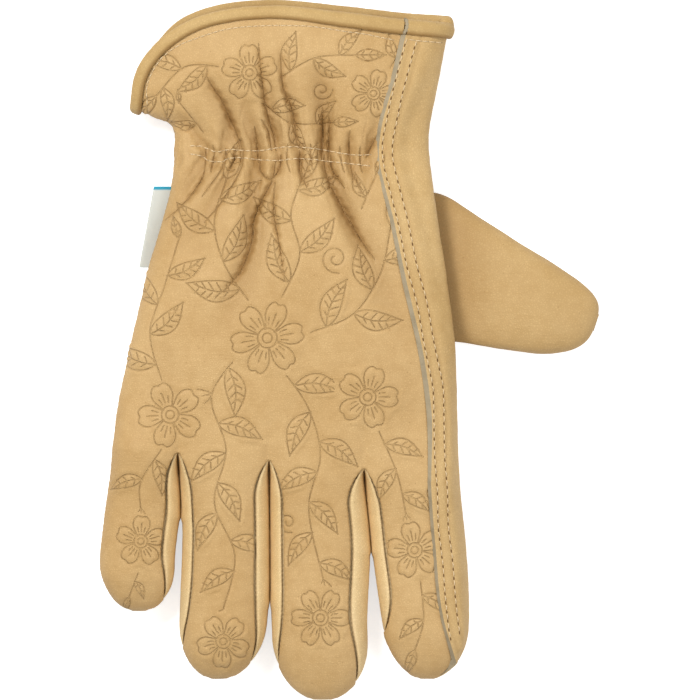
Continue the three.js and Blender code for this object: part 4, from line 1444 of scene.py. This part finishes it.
def seam_depth(away, y):
    return np.minimum(seam_roll(away, SEAM_ROLL) + puckered(away, y), SEAM_DEEPEST)


def seam_shade(away, y):
    """Painted shade in a seam's groove, stronger at each hidden stitch."""
    return np.exp(-((away / SEAM_SHADE) ** 2)) * (0.75 + 0.25 * np.cos(2 * math.pi * y / SEAM_STITCH))


def back_panel():
    rows = hand_places(BACK_HAND_ROWS)
    outer = panel_skin(1, BACK_COUNTS, rows, BACK_FINGER_ROWS, 0.0)
    inner = panel_skin(1, BACK_COUNTS, rows, BACK_FINGER_ROWS, WALL)
    grids, thin, hand, lobes = panel_ids(1, BACK_COUNTS, BACK_HAND_ROWS, BACK_FINGER_ROWS, BACK_STEP)
    plan = outer[:, :2]
    gathers = gather_depth(outer[:, 0], outer[:, 1])
    crease_curves = photo_curves(CREASES)
    wrinkles = line_depth(plan, fine_wrinkles())
    creases = np.maximum(CREASE_STRENGTH * line_depth(plan, crease_curves, CREASE_WOBBLE), wrinkles)
    folds = line_depth(plan, photo_curves(FOLDS))
    quads = np.vstack([grid_quads(ids) for ids in grids])
    lines = pressed_lines(plan)
    # the crease lines join the pattern's lines, so each crease bottom also gets a dark line of painted shade
    signed = lines_on_faces(plan, quads, [line for _, _, line in crease_curves] + MARKS)
    press = PRESS_DEPTH * np.exp(-((lines / PRESS_WIDTH) ** 2)) - pattern_relief(plan)
    press -= RIDGE_HEIGHT * np.exp(-(((lines - RIDGE_AT) / RIDGE_WIDTH) ** 2))
    away = seams_of(outer, hand, lobes)
    soft = unevenness(outer, BACK_UNEVEN)
    near_elastic = np.exp(-(((outer[:, 1] - ELASTIC_Y) / PUFF_REACH) ** 2))
    crumple = near_elastic * unevenness(outer, CRUMPLE)
    puff = PUFF_HEIGHT * near_elastic * (1 - np.minimum(gathers / FULL_GATHER, 1))
    rows_dip = line_depth(plan, photo_curves([(ROW_DIP, ROW_DIP_WIDTH, row) for row in ELASTIC_ROWS]))
    fade = smooth((outer[:, 2] - BACK_FADE_FROM) / BACK_FADE_OVER)
    pressed = (creases + folds + rows_dip - puff) * fade
    outer[:, 2] -= pressed
    roomy = [(CREASE_STRENGTH * depth, width + CREASE_ROOM, line) for depth, width, line in crease_curves]
    inner[:, 2] -= np.maximum(pressed, line_depth(plan, roomy) * fade + folds).clip(0)
    depth = (press + soft + crumple) * fade + seam_depth(away, outer[:, 1])
    outer = outer - normals_of(outer, quads) * depth[:, None]
    # painted shade in the gathers, creases, folds and crumples, with the darker tone of handled leather in
    # them
    painted_shade_and_tone = gathers / FULL_SHADE_GATHER + creases * CREASE_SHARE + folds * FOLD_SHARE
    painted_shade_and_tone = np.clip(painted_shade_and_tone + np.maximum(crumple, 0) * CRUMPLE_SHARE, 0, 1)
    corners = {}
    for n in (0, 1):
        corners[f"line_{n + 1}"] = signed[n]
        corners[f"near_{n + 1}"] = np.abs(signed[n])
    attributes = {"painted_shade_and_tone": painted_shade_and_tone, "painted_seam_shade": seam_shade(away, outer[:, 1])}
    made = shell("back_leather", outer, inner, grids, thin, BACK_LEATHER, attributes, corners=corners)
    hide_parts("back_panel")
    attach(made, BODY)
    return outer, quads


BACK_SKIN = back_panel()

# %% [markdown]
# ## The palm panel and its wrap
# One smooth piece covers the palm, folds round the index side and laps over the back panel. Its outer skin is
# plain leather with long soft wrinkles across the direction of pull. Along the lap two stitch rows draw it
# down a little, with painted shade in their dips, and the raw edge stays open and grey.

# %% The palm panel
PALM_COUNTS = {"little": 24, "ring": 32, "middle": 32, "index": 32, "wrap": 56}
PALM_HAND_ROWS = 160
PALM_FINGER_ROWS = {"little": 56, "ring": 80, "middle": 88, "index": 80}
PALM_STEP = 2
LAP_ROWS = (2.0, 5.4)
LAP_ROW_DIP = 0.16
LAP_ROW_WIDTH = 0.7
LAP_ROW_SHADE = 0.25
PALM_UNEVEN = [(0.22, 12.0, 1.7, EVEN), (0.1, 2.4, 4.4, (0.35, 1, 0.6))]
PALM_FADE_FROM = 1.5
PALM_FADE_OVER = 3


def palm_panel():
    rows = hand_places(PALM_HAND_ROWS)
    outer = panel_skin(-1, PALM_COUNTS, rows, PALM_FINGER_ROWS, 0.0)
    inner = panel_skin(-1, PALM_COUNTS, rows, PALM_FINGER_ROWS, WALL)
    grids, thin, hand, lobes = panel_ids(-1, PALM_COUNTS, PALM_HAND_ROWS, PALM_FINGER_ROWS, PALM_STEP)
    painted_shade_and_tone = np.zeros(len(outer))
    away = seams_of(outer, hand, lobes)
    depth = seam_depth(away, outer[:, 1])
    wrap = PALM_COUNTS["wrap"] + 1
    for ids in (hand, lobes["index"]):
        strip = ids[:, -wrap:]
        _, edge = distances_to_ends(outer, strip)
        for row in LAP_ROWS:
            dip = np.exp(-(((edge - row) / LAP_ROW_WIDTH) ** 2))
            depth[strip] += LAP_ROW_DIP * dip
            # painted shade in the dip of each stitch row
            painted_shade_and_tone[strip] = np.maximum(painted_shade_and_tone[strip], LAP_ROW_SHADE * dip)
    depth += unevenness(outer, PALM_UNEVEN) * smooth((outer[:, 2] - PALM_FADE_FROM) / PALM_FADE_OVER)
    quads = np.vstack([grid_quads(ids) for ids in grids])
    outer = outer - normals_of(outer, quads) * depth[:, None]
    raw_edge = np.concatenate([hand[:, -1], lobes["index"][:, -1]])
    attributes = {"painted_shade_and_tone": painted_shade_and_tone, "painted_seam_shade": seam_shade(away, outer[:, 1])}
    made = shell("palm_leather", outer, inner, grids, thin, PLAIN_LEATHER, attributes, raw_edge)
    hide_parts("palm_panel")
    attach(made, BODY)
    return outer, quads


PALM_SKIN = palm_panel()


# %% [markdown]
# ## The fourchettes
# A fourchette is the strip of smooth leather that makes a finger's side walls. It runs down one
# finger, round the crotch and down the next one, and ends in a point at each end. It bulges out
# between its two seams.


# %% The fourchettes
FOURCHETTE_COLUMNS = 26
FOURCHETTE_SPACING = 0.8
FOURCHETTE_POINT = 0.99
STRIP_EDGE = 0.04
STRIP_SINKS = 0.3
STRIP_SINKS_OVER = 9
STRIP_UNEVEN = [(0.08, 3.0, 2.2, EVEN)]
TOUCH_GAP = -0.05
PARTS_FROM = 0.8
PARTS_OVER = 0.3
MOST_TRIM = 0.35


def side_meeting(finger, which, f):
    """How far a finger's side bulges at place f to rest against the next finger where they are
    close together."""
    sign = -1 if which == 0 else 1
    x, y, _ = skin_point(finger, sign, -f, 1)[0]
    other = FINGERS[FINGERS.index(finger) + sign]
    root = hand_plan(0, np.array([other["middle_share"] - sign * other["half_share"]]))[0, 1]
    place = min(max((root - y) / (root - other["tip"]), 0), 1)
    across = skin_point(other, -sign, -place, 1)[0, 0]
    gap = max(sign * (across - x) - TOUCH_GAP, 0)
    return sign * gap / 2 * (1 - smooth((gap - PARTS_FROM) / PARTS_OVER))


def fourchette_row(finger, which, f, depth, across):
    sign = -1 if which == 0 else 1
    back = skin_point(finger, sign * seam_share(finger, which, f), -f, 1, depth)
    palm = skin_point(finger, sign * seam_share(finger, which, f, -1), -f, -1, depth)
    outside = skin_point(finger, sign, -f, 1, depth)[0, 0] + side_meeting(finger, which, f)
    trim = min(MOST_TRIM, GAP / (back[0, 2] - palm[0, 2]))
    share = lerp(trim, 1 - trim, across)
    puff = lerp(STRIP_EDGE, 1, np.sin(math.pi * across) ** FOURCHETTE_PUFF)
    x = lerp(lerp(back[0, 0], palm[0, 0], share), outside, puff)
    return np.stack([x, lerp(back[0, 1], palm[0, 1], share), lerp(back[0, 2], palm[0, 2], share)], axis=1)


def fourchette(n):
    places = []
    for finger, which in ((FINGERS[n], 1), (FINGERS[n + 1], 0)):
        end = finger["closes"][which] * FOURCHETTE_POINT
        count = 2 * math.ceil(end * finger["length"] / FOURCHETTE_SPACING / 2)
        down = [(finger, which, f) for f in np.linspace(0, end, count + 1)]
        places += down[::-1] if which == 1 else down
    across = (1 - np.cos(math.pi * np.linspace(0, 1, FOURCHETTE_COLUMNS + 1))) / 2
    if len(places) % 2 == 0:
        places.insert(len(places) // 2, places[len(places) // 2])
    outer = np.vstack([fourchette_row(*place, 0.0, across) for place in places])
    inner = np.vstack([fourchette_row(*place, WALL, across) for place in places])
    ids = np.arange(len(outer)).reshape(len(places), -1)
    return outer, inner, ids


def add_fourchette(n, name, node):
    outer, inner, ids = fourchette(n)
    away = seam_distance(outer, ids, (True, True))
    to_ends = np.minimum(*distances_to_ends(outer, ids.T)).T
    sinks = STRIP_SINKS * np.clip(1 - to_ends / STRIP_SINKS_OVER, 0, 1) ** 2
    depth = np.maximum(seam_depth(away, outer[ids][..., 1]), sinks)
    depth = depth.ravel() + unevenness(outer, STRIP_UNEVEN)
    painted_seam_shade = seam_shade(away, outer[ids][..., 1]).ravel()
    outer = outer - normals_of(outer, grid_quads(ids)) * depth[:, None]
    made = shell(name, outer, inner, [ids], [ids[::2, ::2]], SIDE_LEATHER_PAINTED_LIGHT, {"painted_seam_shade": painted_seam_shade})
    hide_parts(node)
    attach(made, BODY)


add_fourchette(0, "side_strip_little_ring", "fourchette_little_ring")
add_fourchette(1, "side_strip_ring_middle", "fourchette_ring_middle")
add_fourchette(2, "side_strip_middle_index", "fourchette_middle_index")

# %% [markdown]
# ## The thumb
# The thumb is a tube of the same smooth leather. It lies under the edge of the hand, and its root
# is set into the palm. It is lofted ring by ring, and where it passes under the palm it keeps just
# clear of it.

# %% The thumb
THUMB_START = 0.55
THUMB_RINGS = 110
THUMB_SIDES = 96
PALM_CLEARANCE = 0.4
THUMB_TONE = 0.25
THUMB_SHADE = 0.45
THUMB_SHADE_TO = 54
THUMB_SHADE_RUN = 24
THUMB_UNEVEN = [(0.3, 15.0, 6.1, EVEN), (0.09, 2.6, 9.3, (0.6, 0.6, 1))]
THUMB_FADE_FROM = 1
THUMB_FADE_OVER = 3


def tree_of(skin):
    points, quads = skin
    return BVHTree.FromPolygons(points.tolist(), quads.tolist())


def thumb_ring(place, depth, angles):
    last = len(THUMB) - 1
    tau = float(np.clip((place - (last - THUMB_ROUND)) / THUMB_ROUND, 0, THUMB_END))
    rounded = float(superellipse(tau, THUMB_FULLNESS))
    near = along([row[0] for row in THUMB], place)
    far = along([row[1] for row in THUMB], place)
    top = along([row[2] for row in THUMB], place)
    wide = np.linalg.norm(far - near) / 2
    width = max(wide * rounded - depth, LEAST_WIDTH)
    power = 2 / FINGER_FULLNESS
    cos, sin = np.cos(angles), np.sin(angles)
    reach = np.sign(cos) * np.abs(cos) ** power * width / wide
    share = np.abs(sin) ** power * rounded
    plan = lerp(near, far, (0.5 + reach / 2)[:, None])
    over = THUMB_SIDE_HEIGHT + (top - depth - THUMB_SIDE_HEIGHT) * share
    under = np.maximum(THUMB_SIDE_HEIGHT - (THUMB_SIDE_HEIGHT + PALM_SAG - depth) * share, depth)
    return np.column_stack([plan, np.where(sin >= 0, over, under)])


def under_palm(points, palm):
    """Points moved down where they would touch the palm above them."""
    moved = points.copy()
    for i, (x, y, z) in enumerate(points.tolist()):
        hit = palm.ray_cast(Vector((x, y, -5)), Vector((0, 0, 1)))[0]
        if hit is not None:
            moved[i, 2] = max(min(z, hit.z - PALM_CLEARANCE), 0.02)
    return moved


def closed_tube(rings):
    """Faces of a tube through rings of points, with a fan at each end."""
    count, size = rings.shape[:2]
    ids = np.arange(count * size).reshape(count, size)
    ids = np.hstack([ids, ids[:, :1]])
    quads = grid_quads(ids)
    hubs = [rings[0].mean(axis=0), rings[-1].mean(axis=0)]
    points = np.vstack([rings.reshape(-1, 3), hubs])
    fans = [(count * size, ids[0, i], ids[0, i + 1]) for i in range(size)]
    fans += [(count * size + 1, ids[-1, i + 1], ids[-1, i]) for i in range(size)]
    return points, quads, [tuple(int(v) for v in fan) for fan in fans]


def thumb(palm):
    angles = np.linspace(0, 2 * math.pi, THUMB_SIDES, endpoint=False)
    places = leaning(len(THUMB) - 1, THUMB_START, THUMB_RINGS)[::-1]
    rings = np.array([thumb_ring(place, 0.0, angles) for place in places])
    points, quads, fans = closed_tube(rings)
    quads = quads[:, ::-1]
    fans = [fan[::-1] for fan in fans]
    depth = unevenness(points, THUMB_UNEVEN)
    depth *= smooth((points[:, 2] - THUMB_FADE_FROM) / THUMB_FADE_OVER)
    points = points - normals_of(points, quads) * depth[:, None]
    points[:, 2] = np.maximum(points[:, 2], 0)
    points = under_palm(points, palm)
    # painted shade where the edge of the hand shadows the thumb, on a darker tone all over
    painted_shade_and_tone = THUMB_TONE + THUMB_SHADE * smooth((THUMB_SHADE_TO - points[:, 0]) / THUMB_SHADE_RUN)
    made = mesh_object("thumb_leather", points, quads.tolist() + fans, PLAIN_LEATHER, {"painted_shade_and_tone": painted_shade_and_tone})
    print(f"thumb_leather: {2 * len(quads) + len(fans)} triangles")
    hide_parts("thumb")
    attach(made, BODY)


thumb(tree_of(PALM_SKIN))

# %% [markdown]
# ## The binding of the cuff
# A strip of leather is folded over the rim and rolled, and a stitch row holds it. Its section is a
# fat C: a round back outside, a lip on the outer face and a longer skirt inside the cuff. One piece
# goes round the back and butts against the lap seam, and the other goes round the palm.

# %% The binding
ROLL_RADIUS = 2.3
ROLL_SLOT = WALL / 2 + GAP
ROLL_SKIRT = 5.5
ROLL_FROM = RIM_SECTION - 0.15
ROLL_DEEP = 0.35
ROLL_LIP = [(-2.3, 0.95), (-2.25, 1.4), (-1.85, 1.9), (-1.0, 2.22)]
LIP_FROM = -1.6
LIP_SHADE = 0.8
ROLL_GROWS = 0.2
ROLL_GROWS_FROM = 0.5
ROLL_GROWS_OVER = 0.35
RIM_SHADE = 0.5
RIM_SHADE_REACH = 1.0
JOIN_HALF_GAP = 0.002
ROLL_UNEVEN = [(0.1, 2.2, 7.7, (1.6, 1.6, 0.4)), (0.12, 9.0, 2.9, EVEN)]


def roll_outline():
    angles = np.radians(np.linspace(90, -90, 17))
    arc = np.stack([ROLL_RADIUS * np.cos(angles), ROLL_RADIUS * np.sin(angles)], axis=1)
    skirt = [(-2.5, -ROLL_SLOT - WALL), (-ROLL_SKIRT, -ROLL_SLOT - WALL), (-ROLL_SKIRT, -ROLL_SLOT)]
    slot = [(ROLL_DEEP, -ROLL_SLOT), (ROLL_DEEP, ROLL_SLOT)]
    return np.vstack([ROLL_LIP, arc, skirt, slot])


def rim_frame(u, side):
    s = np.array([(u - INDEX["middle_share"]) / INDEX["half_share"]])
    depth = WALL / 2
    if side > 0 and u > LAP[-1]:
        depth -= wrap_lift(s[0], RIM_SECTION) / 2
    rim = hand_point(INDEX, s, RIM_SECTION, side, depth)[0]
    inward = hand_point(INDEX, s, ROLL_FROM, side, depth)[0]
    return rim, inward


def binding(name, node, places, near_roll=None):
    """One strip of binding, with painted shade in the crease under its lip. Where it lies under the near roll
    its upper side gets painted shade instead.
    """
    frames = [rim_frame(u, side) for u, side in places]
    points = np.array([rim for rim, _ in frames])
    outline = roll_outline()
    # painted shade in the crease under the lip
    painted_lip_shade = np.where((outline[:, 0] < LIP_FROM) & (outline[:, 1] > 0), LIP_SHADE, 0)
    rings = []
    for i, (rim, inward) in enumerate(frames):
        tangent = points[min(i + 1, len(points) - 1)] - points[max(i - 1, 0)]
        if places[i][0] == 0:
            tangent = np.array([0, 0, 1.0])
        tangent = tangent / np.linalg.norm(tangent)
        rimward = rim - inward
        rimward = rimward - tangent * rimward.dot(tangent)
        rimward = rimward / np.linalg.norm(rimward)
        outward = -np.cross(rimward, tangent)
        u, side = places[i]
        grown = 1 + ROLL_GROWS * smooth((u - ROLL_GROWS_FROM) / ROLL_GROWS_OVER) * (side > 0)
        rim = rim - rimward * (grown - 1) * ROLL_RADIUS
        rings.append(rim + grown * (outline[:, :1] * rimward + outline[:, 1:] * outward))
    rings = np.array(rings)
    painted_shade_and_tone = np.tile(painted_lip_shade, (len(rings), 1))
    under = np.array([side < 0 for _, side in places])
    # painted shadow of the near roll on the far rim
    if near_roll is not None:
        distance = np.abs(nearest(rings[under].reshape(-1, 3)[:, :2], near_roll)[0]) - ROLL_RADIUS
        shade = RIM_SHADE * np.exp(-np.maximum(distance, 0) / RIM_SHADE_REACH)
        painted_shade_and_tone[under] = shade.reshape(under.sum(), -1)
    body, quads, fans = closed_tube(rings)
    body = body - normals_of(body, quads) * unevenness(body, ROLL_UNEVEN)[:, None]
    attributes = {"painted_shade_and_tone": np.concatenate([painted_shade_and_tone.ravel(), [0, 0]])}
    made = mesh_object(name, body, quads.tolist() + fans, BINDING_LEATHER, attributes)
    print(f"{name}: {2 * len(quads) + len(fans)} triangles")
    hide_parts(node)
    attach(made, BODY)
    return body, quads, points[~under][:, :2]


def rim_places():
    """Places on the rim for the back's piece and for the palm's, as (share across, side)."""
    lap = float(LAP[-1])
    turn = leaning(0, 0.5, 70)
    back = [(u, 1) for u in np.concatenate([turn, np.linspace(0.5, lap - JOIN_HALF_GAP, 46)[1:]])]
    over = [(u, 1) for u in leaning(1, lap + JOIN_HALF_GAP, 20)[::-1]]
    under = [(u, -1) for u in leaning(1, 0.5, 60)[1:]] + [(u, -1) for u in leaning(0, 0.5, 60)[::-1][1:]]
    return back, over + under


back_places, palm_places = rim_places()
back_roll, back_quads, near_roll = binding("rim_roll_back", "cuff_binding_back", back_places)
palm_roll, palm_quads, _ = binding("rim_roll_palm", "cuff_binding_palm", palm_places, near_roll)
ROLL_SKIN = np.vstack([back_roll, palm_roll]), np.vstack([back_quads, palm_quads + len(back_roll)])

# %% [markdown]
# ## The label
# A folded satin tab sticks out of the side seam below the little finger's edge of the cuff. It is
# bare, with a teal stripe woven across its upper end. Its inner edge is tucked into the groove of
# the seam.

# %% The label
LABEL_FROM = (-66.7, 55.6)
LABEL_TO = (-71.7, 28.0)
LABEL_HEIGHT = 10
LABEL_THICK = 0.9
LABEL_LEAF = 0.35
LABEL_BOW = 0.5
LABEL_SEAM = (2, 6)
STRIPE_SHARES = (0.038, 0.985)
STRIPE_STRENGTHS = (1.0, 0.3)
TUCKED_IN = 0.25


def body_edge(y):
    """The outer side line of the hand at a height on the picture."""
    low, high = LABEL_SEAM
    for _ in range(30):
        middle = (low + high) / 2
        if hand_plan(middle, np.array([0.0]))[0, 1] < y:
            low = middle
        else:
            high = middle
    return hand_point(FINGERS[0], np.array([-1.0]), low, 1, 0.0)[0]


def tab_path(start, end, half):
    """One leaf out to the fold and the other leaf back, at half a thickness from the tab's middle."""
    across = np.linspace(0, 1, 9)[:, None]
    turn = np.radians(np.linspace(90, 270, 9)[1:-1])
    upper = lerp(start, end, across) + np.array([0, 0, half])
    fold = end + np.stack([half * np.cos(turn), 0 * turn, half * np.sin(turn)], axis=1)
    lower = lerp(end, start, across) - np.array([0, 0, half])
    return np.vstack([upper, fold, lower])


def label():
    shares = np.linspace(0, 1, 61)
    half = LABEL_THICK / 2
    rings = []
    for share in shares:
        outer_x, y = (lerp(a, b, share) for a, b in zip(LABEL_FROM, LABEL_TO))
        inner_x, inner_y, _ = body_edge(y) + (TUCKED_IN, 0, 0)
        bow = LABEL_BOW * math.sin(math.pi * share)
        start = np.array([inner_x, inner_y, LABEL_HEIGHT])
        end = np.array([outer_x + half, y, LABEL_HEIGHT + bow])
        rings.append(np.vstack([tab_path(start, end, half), tab_path(start, end, half - LABEL_LEAF)[::-1]]))
    rings = np.array(rings)
    count, size = rings.shape[:2]
    ids = np.arange(count * size).reshape(count, size)
    faces = grid_quads(np.hstack([ids, ids[:, :1]])).tolist()
    for ring, step in ((ids[0], 1), (ids[-1], -1)):
        outside, inside = ring[: size // 2].tolist(), ring[: size // 2 - 1 : -1].tolist()
        corners = zip(outside, outside[1:], inside[1:], inside)
        faces += [corner[::step] for corner in corners]
    places = np.repeat(shares, size)
    stripe = np.where(places < STRIPE_SHARES[0], STRIPE_STRENGTHS[0], 0)
    stripe = np.where(places > STRIPE_SHARES[1], STRIPE_STRENGTHS[1], stripe)
    made = mesh_object("side_tab", rings.reshape(-1, 3), faces, LABEL_CLOTH, {"stripe": stripe})
    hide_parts("side_label")
    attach(made, BODY)


label()

# %% [markdown]
# ## Stitches
# Every visible stitch is a short piece of thread that rises out of one needle hole and dives into the next,
# and between two stitches the needle has left a slit, drawn as a flat dark sliver that is painted shade in
# the hole. A row is a line on the plan, walked at the stitch pitch, and each stitch and slit is set on the
# finished leather by casting a ray down onto it.

# %% Stitching
STITCH_SIDES = 6
STITCH_RINGS = 7
THREAD_RADIUS = 0.2
SLIT_RADIUS = 0.27
SLIT_FLATNESS = 0.2
SLIT_RISE = 0.1
# pitch, stitch length, slit length
LAP_STITCHES = (3.1, 1.8, 1.25)
ELASTIC_STITCHES = (2.4, 1.75, 0.5)
HEM_STITCHES = (2.3, 1.7, 0.45)
# slits in the elastic and hem rows get a weaker painted shade
FAINT_SLIT_SHADE = 0.6


def stitch_body(ends, surface, radius, rise, flatness):
    """A short rod lying on the leather between two places in plan, or nothing where it starts off
    the leather. Over a gap it keeps its height."""
    shares = np.linspace(0, 1, STITCH_RINGS)
    middle, normals = [], []
    for x, y in lerp(ends[0], ends[1], shares[:, None]):
        hit, normal, _, _ = surface.ray_cast(Vector((x, y, 60)), Vector((0, 0, -1)))
        if hit is None and not middle:
            return None
        if hit is None:
            hit, normal = Vector((x, y, middle[-1].z)), normals[-1]
        middle.append(hit)
        normals.append(normal if normal.z > 0 else -normal)
    middle, normals = np.array(middle), np.array(normals)
    bulge = np.sin(math.pi * shares)
    middle = middle + normals * (radius * rise * (1.7 * bulge - 0.45))[:, None]
    tangent = middle[-1] - middle[0]
    tangent = tangent / np.linalg.norm(tangent)
    angles = np.linspace(0, 2 * math.pi, STITCH_SIDES, endpoint=False)
    rings = []
    for centre, normal, swell in zip(middle, normals, bulge):
        up = normal - tangent * normal.dot(tangent)
        up = up / np.linalg.norm(up)
        side = np.cross(tangent, up)
        thick = radius * (0.45 + 0.55 * swell)
        ring = np.cos(angles)[:, None] * side + flatness * np.sin(angles)[:, None] * up
        rings.append(centre + thick * ring)
    return np.array(rings)


def stitch_row(name, line, surface, pitch, length, slit, darkness=1.0):
    """A row of stitches of one length at one pitch, with slits of another length between them."""
    line = resampled(line, max(2, int(run_length(np.asarray(line))[-1] / 0.25)))
    run = run_length(line)
    points, faces, dark = [], [], []
    base = 0
    # the second part is the slit, a flat sliver coloured as painted shade
    parts = [
        (0, length, THREAD_RADIUS, 1, 1, 0.0),
        ((length + pitch - slit) / 2, slit, SLIT_RADIUS, SLIT_RISE, SLIT_FLATNESS, darkness),
    ]
    for start in np.arange(pitch * 0.3, run[-1] - pitch, pitch):
        for shift, reach, radius, rise, flatness, shade in parts:
            places = (start + shift, start + shift + reach)
            ends = [np.array([np.interp(place, run, axis) for axis in line.T]) for place in places]
            rings = stitch_body(ends, surface, radius, rise, flatness)
            if rings is None:
                continue
            body, quads, fans = closed_tube(rings)
            points.append(body)
            faces += (quads + base).tolist() + [tuple(v + base for v in fan) for fan in fans]
            dark.append(np.full(len(body), shade))
            base += len(body)
    made = mesh_object(name, np.vstack(points), faces, THREAD, {"raw": np.concatenate(dark)})
    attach(made, BODY)
    print(f"{name}: {len(dark)} stitches and slits")


back_tree = tree_of(BACK_SKIN)
palm_tree = tree_of(PALM_SKIN)

# points on the picture
LAP_EDGE_ON_PHOTO = [
    (401.7, 34.7), (396.8, 52), (392, 70.5), (386.5, 92), (381.6, 115), (376.8, 139.5),
    (376.8, 161), (381, 180.7), (386.5, 202.4), (393, 228.5), (401, 268.7), (410.8, 304.3),
    (416.7, 338), (422.6, 367.6), (426.6, 387), (427.6, 407), (428.6, 458.5), (431.3, 491.4),
    (432.1, 527), (436.6, 562.9), (439.3, 598.6), (442.9, 630.7), (446.0, 645.0),
]
lap_edge = curve_through(from_photo(LAP_EDGE_ON_PHOTO), 4)


def offset_line(line, distance):
    """A line moved sideways, to the right of one that runs down the picture."""
    ahead = np.gradient(line, axis=0)
    ahead = ahead / np.linalg.norm(ahead, axis=1, keepdims=True)
    return line + distance * np.stack([-ahead[:, 1], ahead[:, 0]], axis=1)


for n, distance in enumerate(LAP_ROWS):
    stitch_row(f"lap_stitches_{n + 1}", offset_line(lap_edge, distance), palm_tree, *LAP_STITCHES)

for n, points in enumerate(ELASTIC_ROWS):
    line = curve_through(from_photo(points))
    stitch_row(f"elastic_stitches_{n + 1}", line, back_tree, *ELASTIC_STITCHES, FAINT_SLIT_SHADE)

HEM_ROW = [
    (148, 107), (147, 89), (151, 76), (158, 64), (167, 54), (181, 45), (197, 39), (218, 32),
    (237, 28.5), (264, 26.5), (300, 26.5), (322, 28.5), (344, 32), (366, 35), (385, 39), (396, 41),
]
HEM_ROW_OVER = [(407, 40), (420, 41.5), (443, 43)]
for name, row, leather in (
    ("hem_stitches_back", HEM_ROW, back_tree),
    ("hem_stitches_wrap", HEM_ROW_OVER, palm_tree),
):
    stitch_row(name, curve_through(from_photo(row)), leather, *HEM_STITCHES, FAINT_SLIT_SHADE)

# %% [markdown]
# ## The join of the binding
# Where the two pieces of binding meet at the lap, the cut end of one curls over the end of the
# other. It shows as a narrow ribbon of bare suede that follows the roll in a shallow S. Its width
# rises and falls five times, as small stitches pinch it. It lies as high as the roll is just beside
# it, so it never sinks into the gap.

# %% The join of the binding
# points on the picture
JOIN_EDGE = [
    (403.8, 18.6), (405.6, 20), (406.8, 22.8), (406.9, 26),
    (406.3, 29.5), (404.9, 32.5), (403.2, 34.6),
]
JOIN_STEPS = 40
JOIN_SIDES = 12
JOIN_HALF_WIDTH = 0.56
JOIN_HALF_THICKNESS = 0.3
JOIN_PITCH = 1.1
JOIN_PINCH = 0.12
JOIN_BESIDE = (-0.9, 0, 0.9)
OVER_ALL = 200


def join_edge():
    """A ribbon along the join of the binding, wavy where the stitches pinch it."""
    line = resampled(curve_through(from_photo(JOIN_EDGE)), JOIN_STEPS)
    run = run_length(line)
    roll = tree_of(ROLL_SKIN)
    down = Vector((0, 0, -1))
    turn = np.radians(np.arange(0, 360, 360 / JOIN_SIDES))
    rings = []
    height = None
    for k, (x, y) in enumerate(line):
        hits = [roll.ray_cast(Vector((x + beside, y, OVER_ALL)), down)[0] for beside in JOIN_BESIDE]
        tops = [hit.z for hit in hits if hit is not None]
        if tops:
            height = max(tops)
        radius = JOIN_HALF_WIDTH + JOIN_PINCH * math.sin(2 * math.pi * run[k] / JOIN_PITCH)
        ahead = line[min(k + 1, len(line) - 1)] - line[max(k - 1, 0)]
        away = np.array([ahead[1], -ahead[0]]) / np.linalg.norm(ahead)
        flat = np.outer(radius * np.cos(turn), away)
        up = height + JOIN_HALF_THICKNESS * np.sin(turn)
        rings.append(np.column_stack([x + flat[:, 0], y + flat[:, 1], up]))
    points, quads, fans = closed_tube(np.array(rings))
    faces = quads.tolist() + fans
    made = mesh_object("join_edge", points, faces, BINDING_LEATHER, {}, np.ones(len(faces)))
    print(f"join_edge: {run[-1]:.1f} mm long, {2 * JOIN_HALF_WIDTH:.1f} mm wide")
    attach(made, BODY)


join_edge()
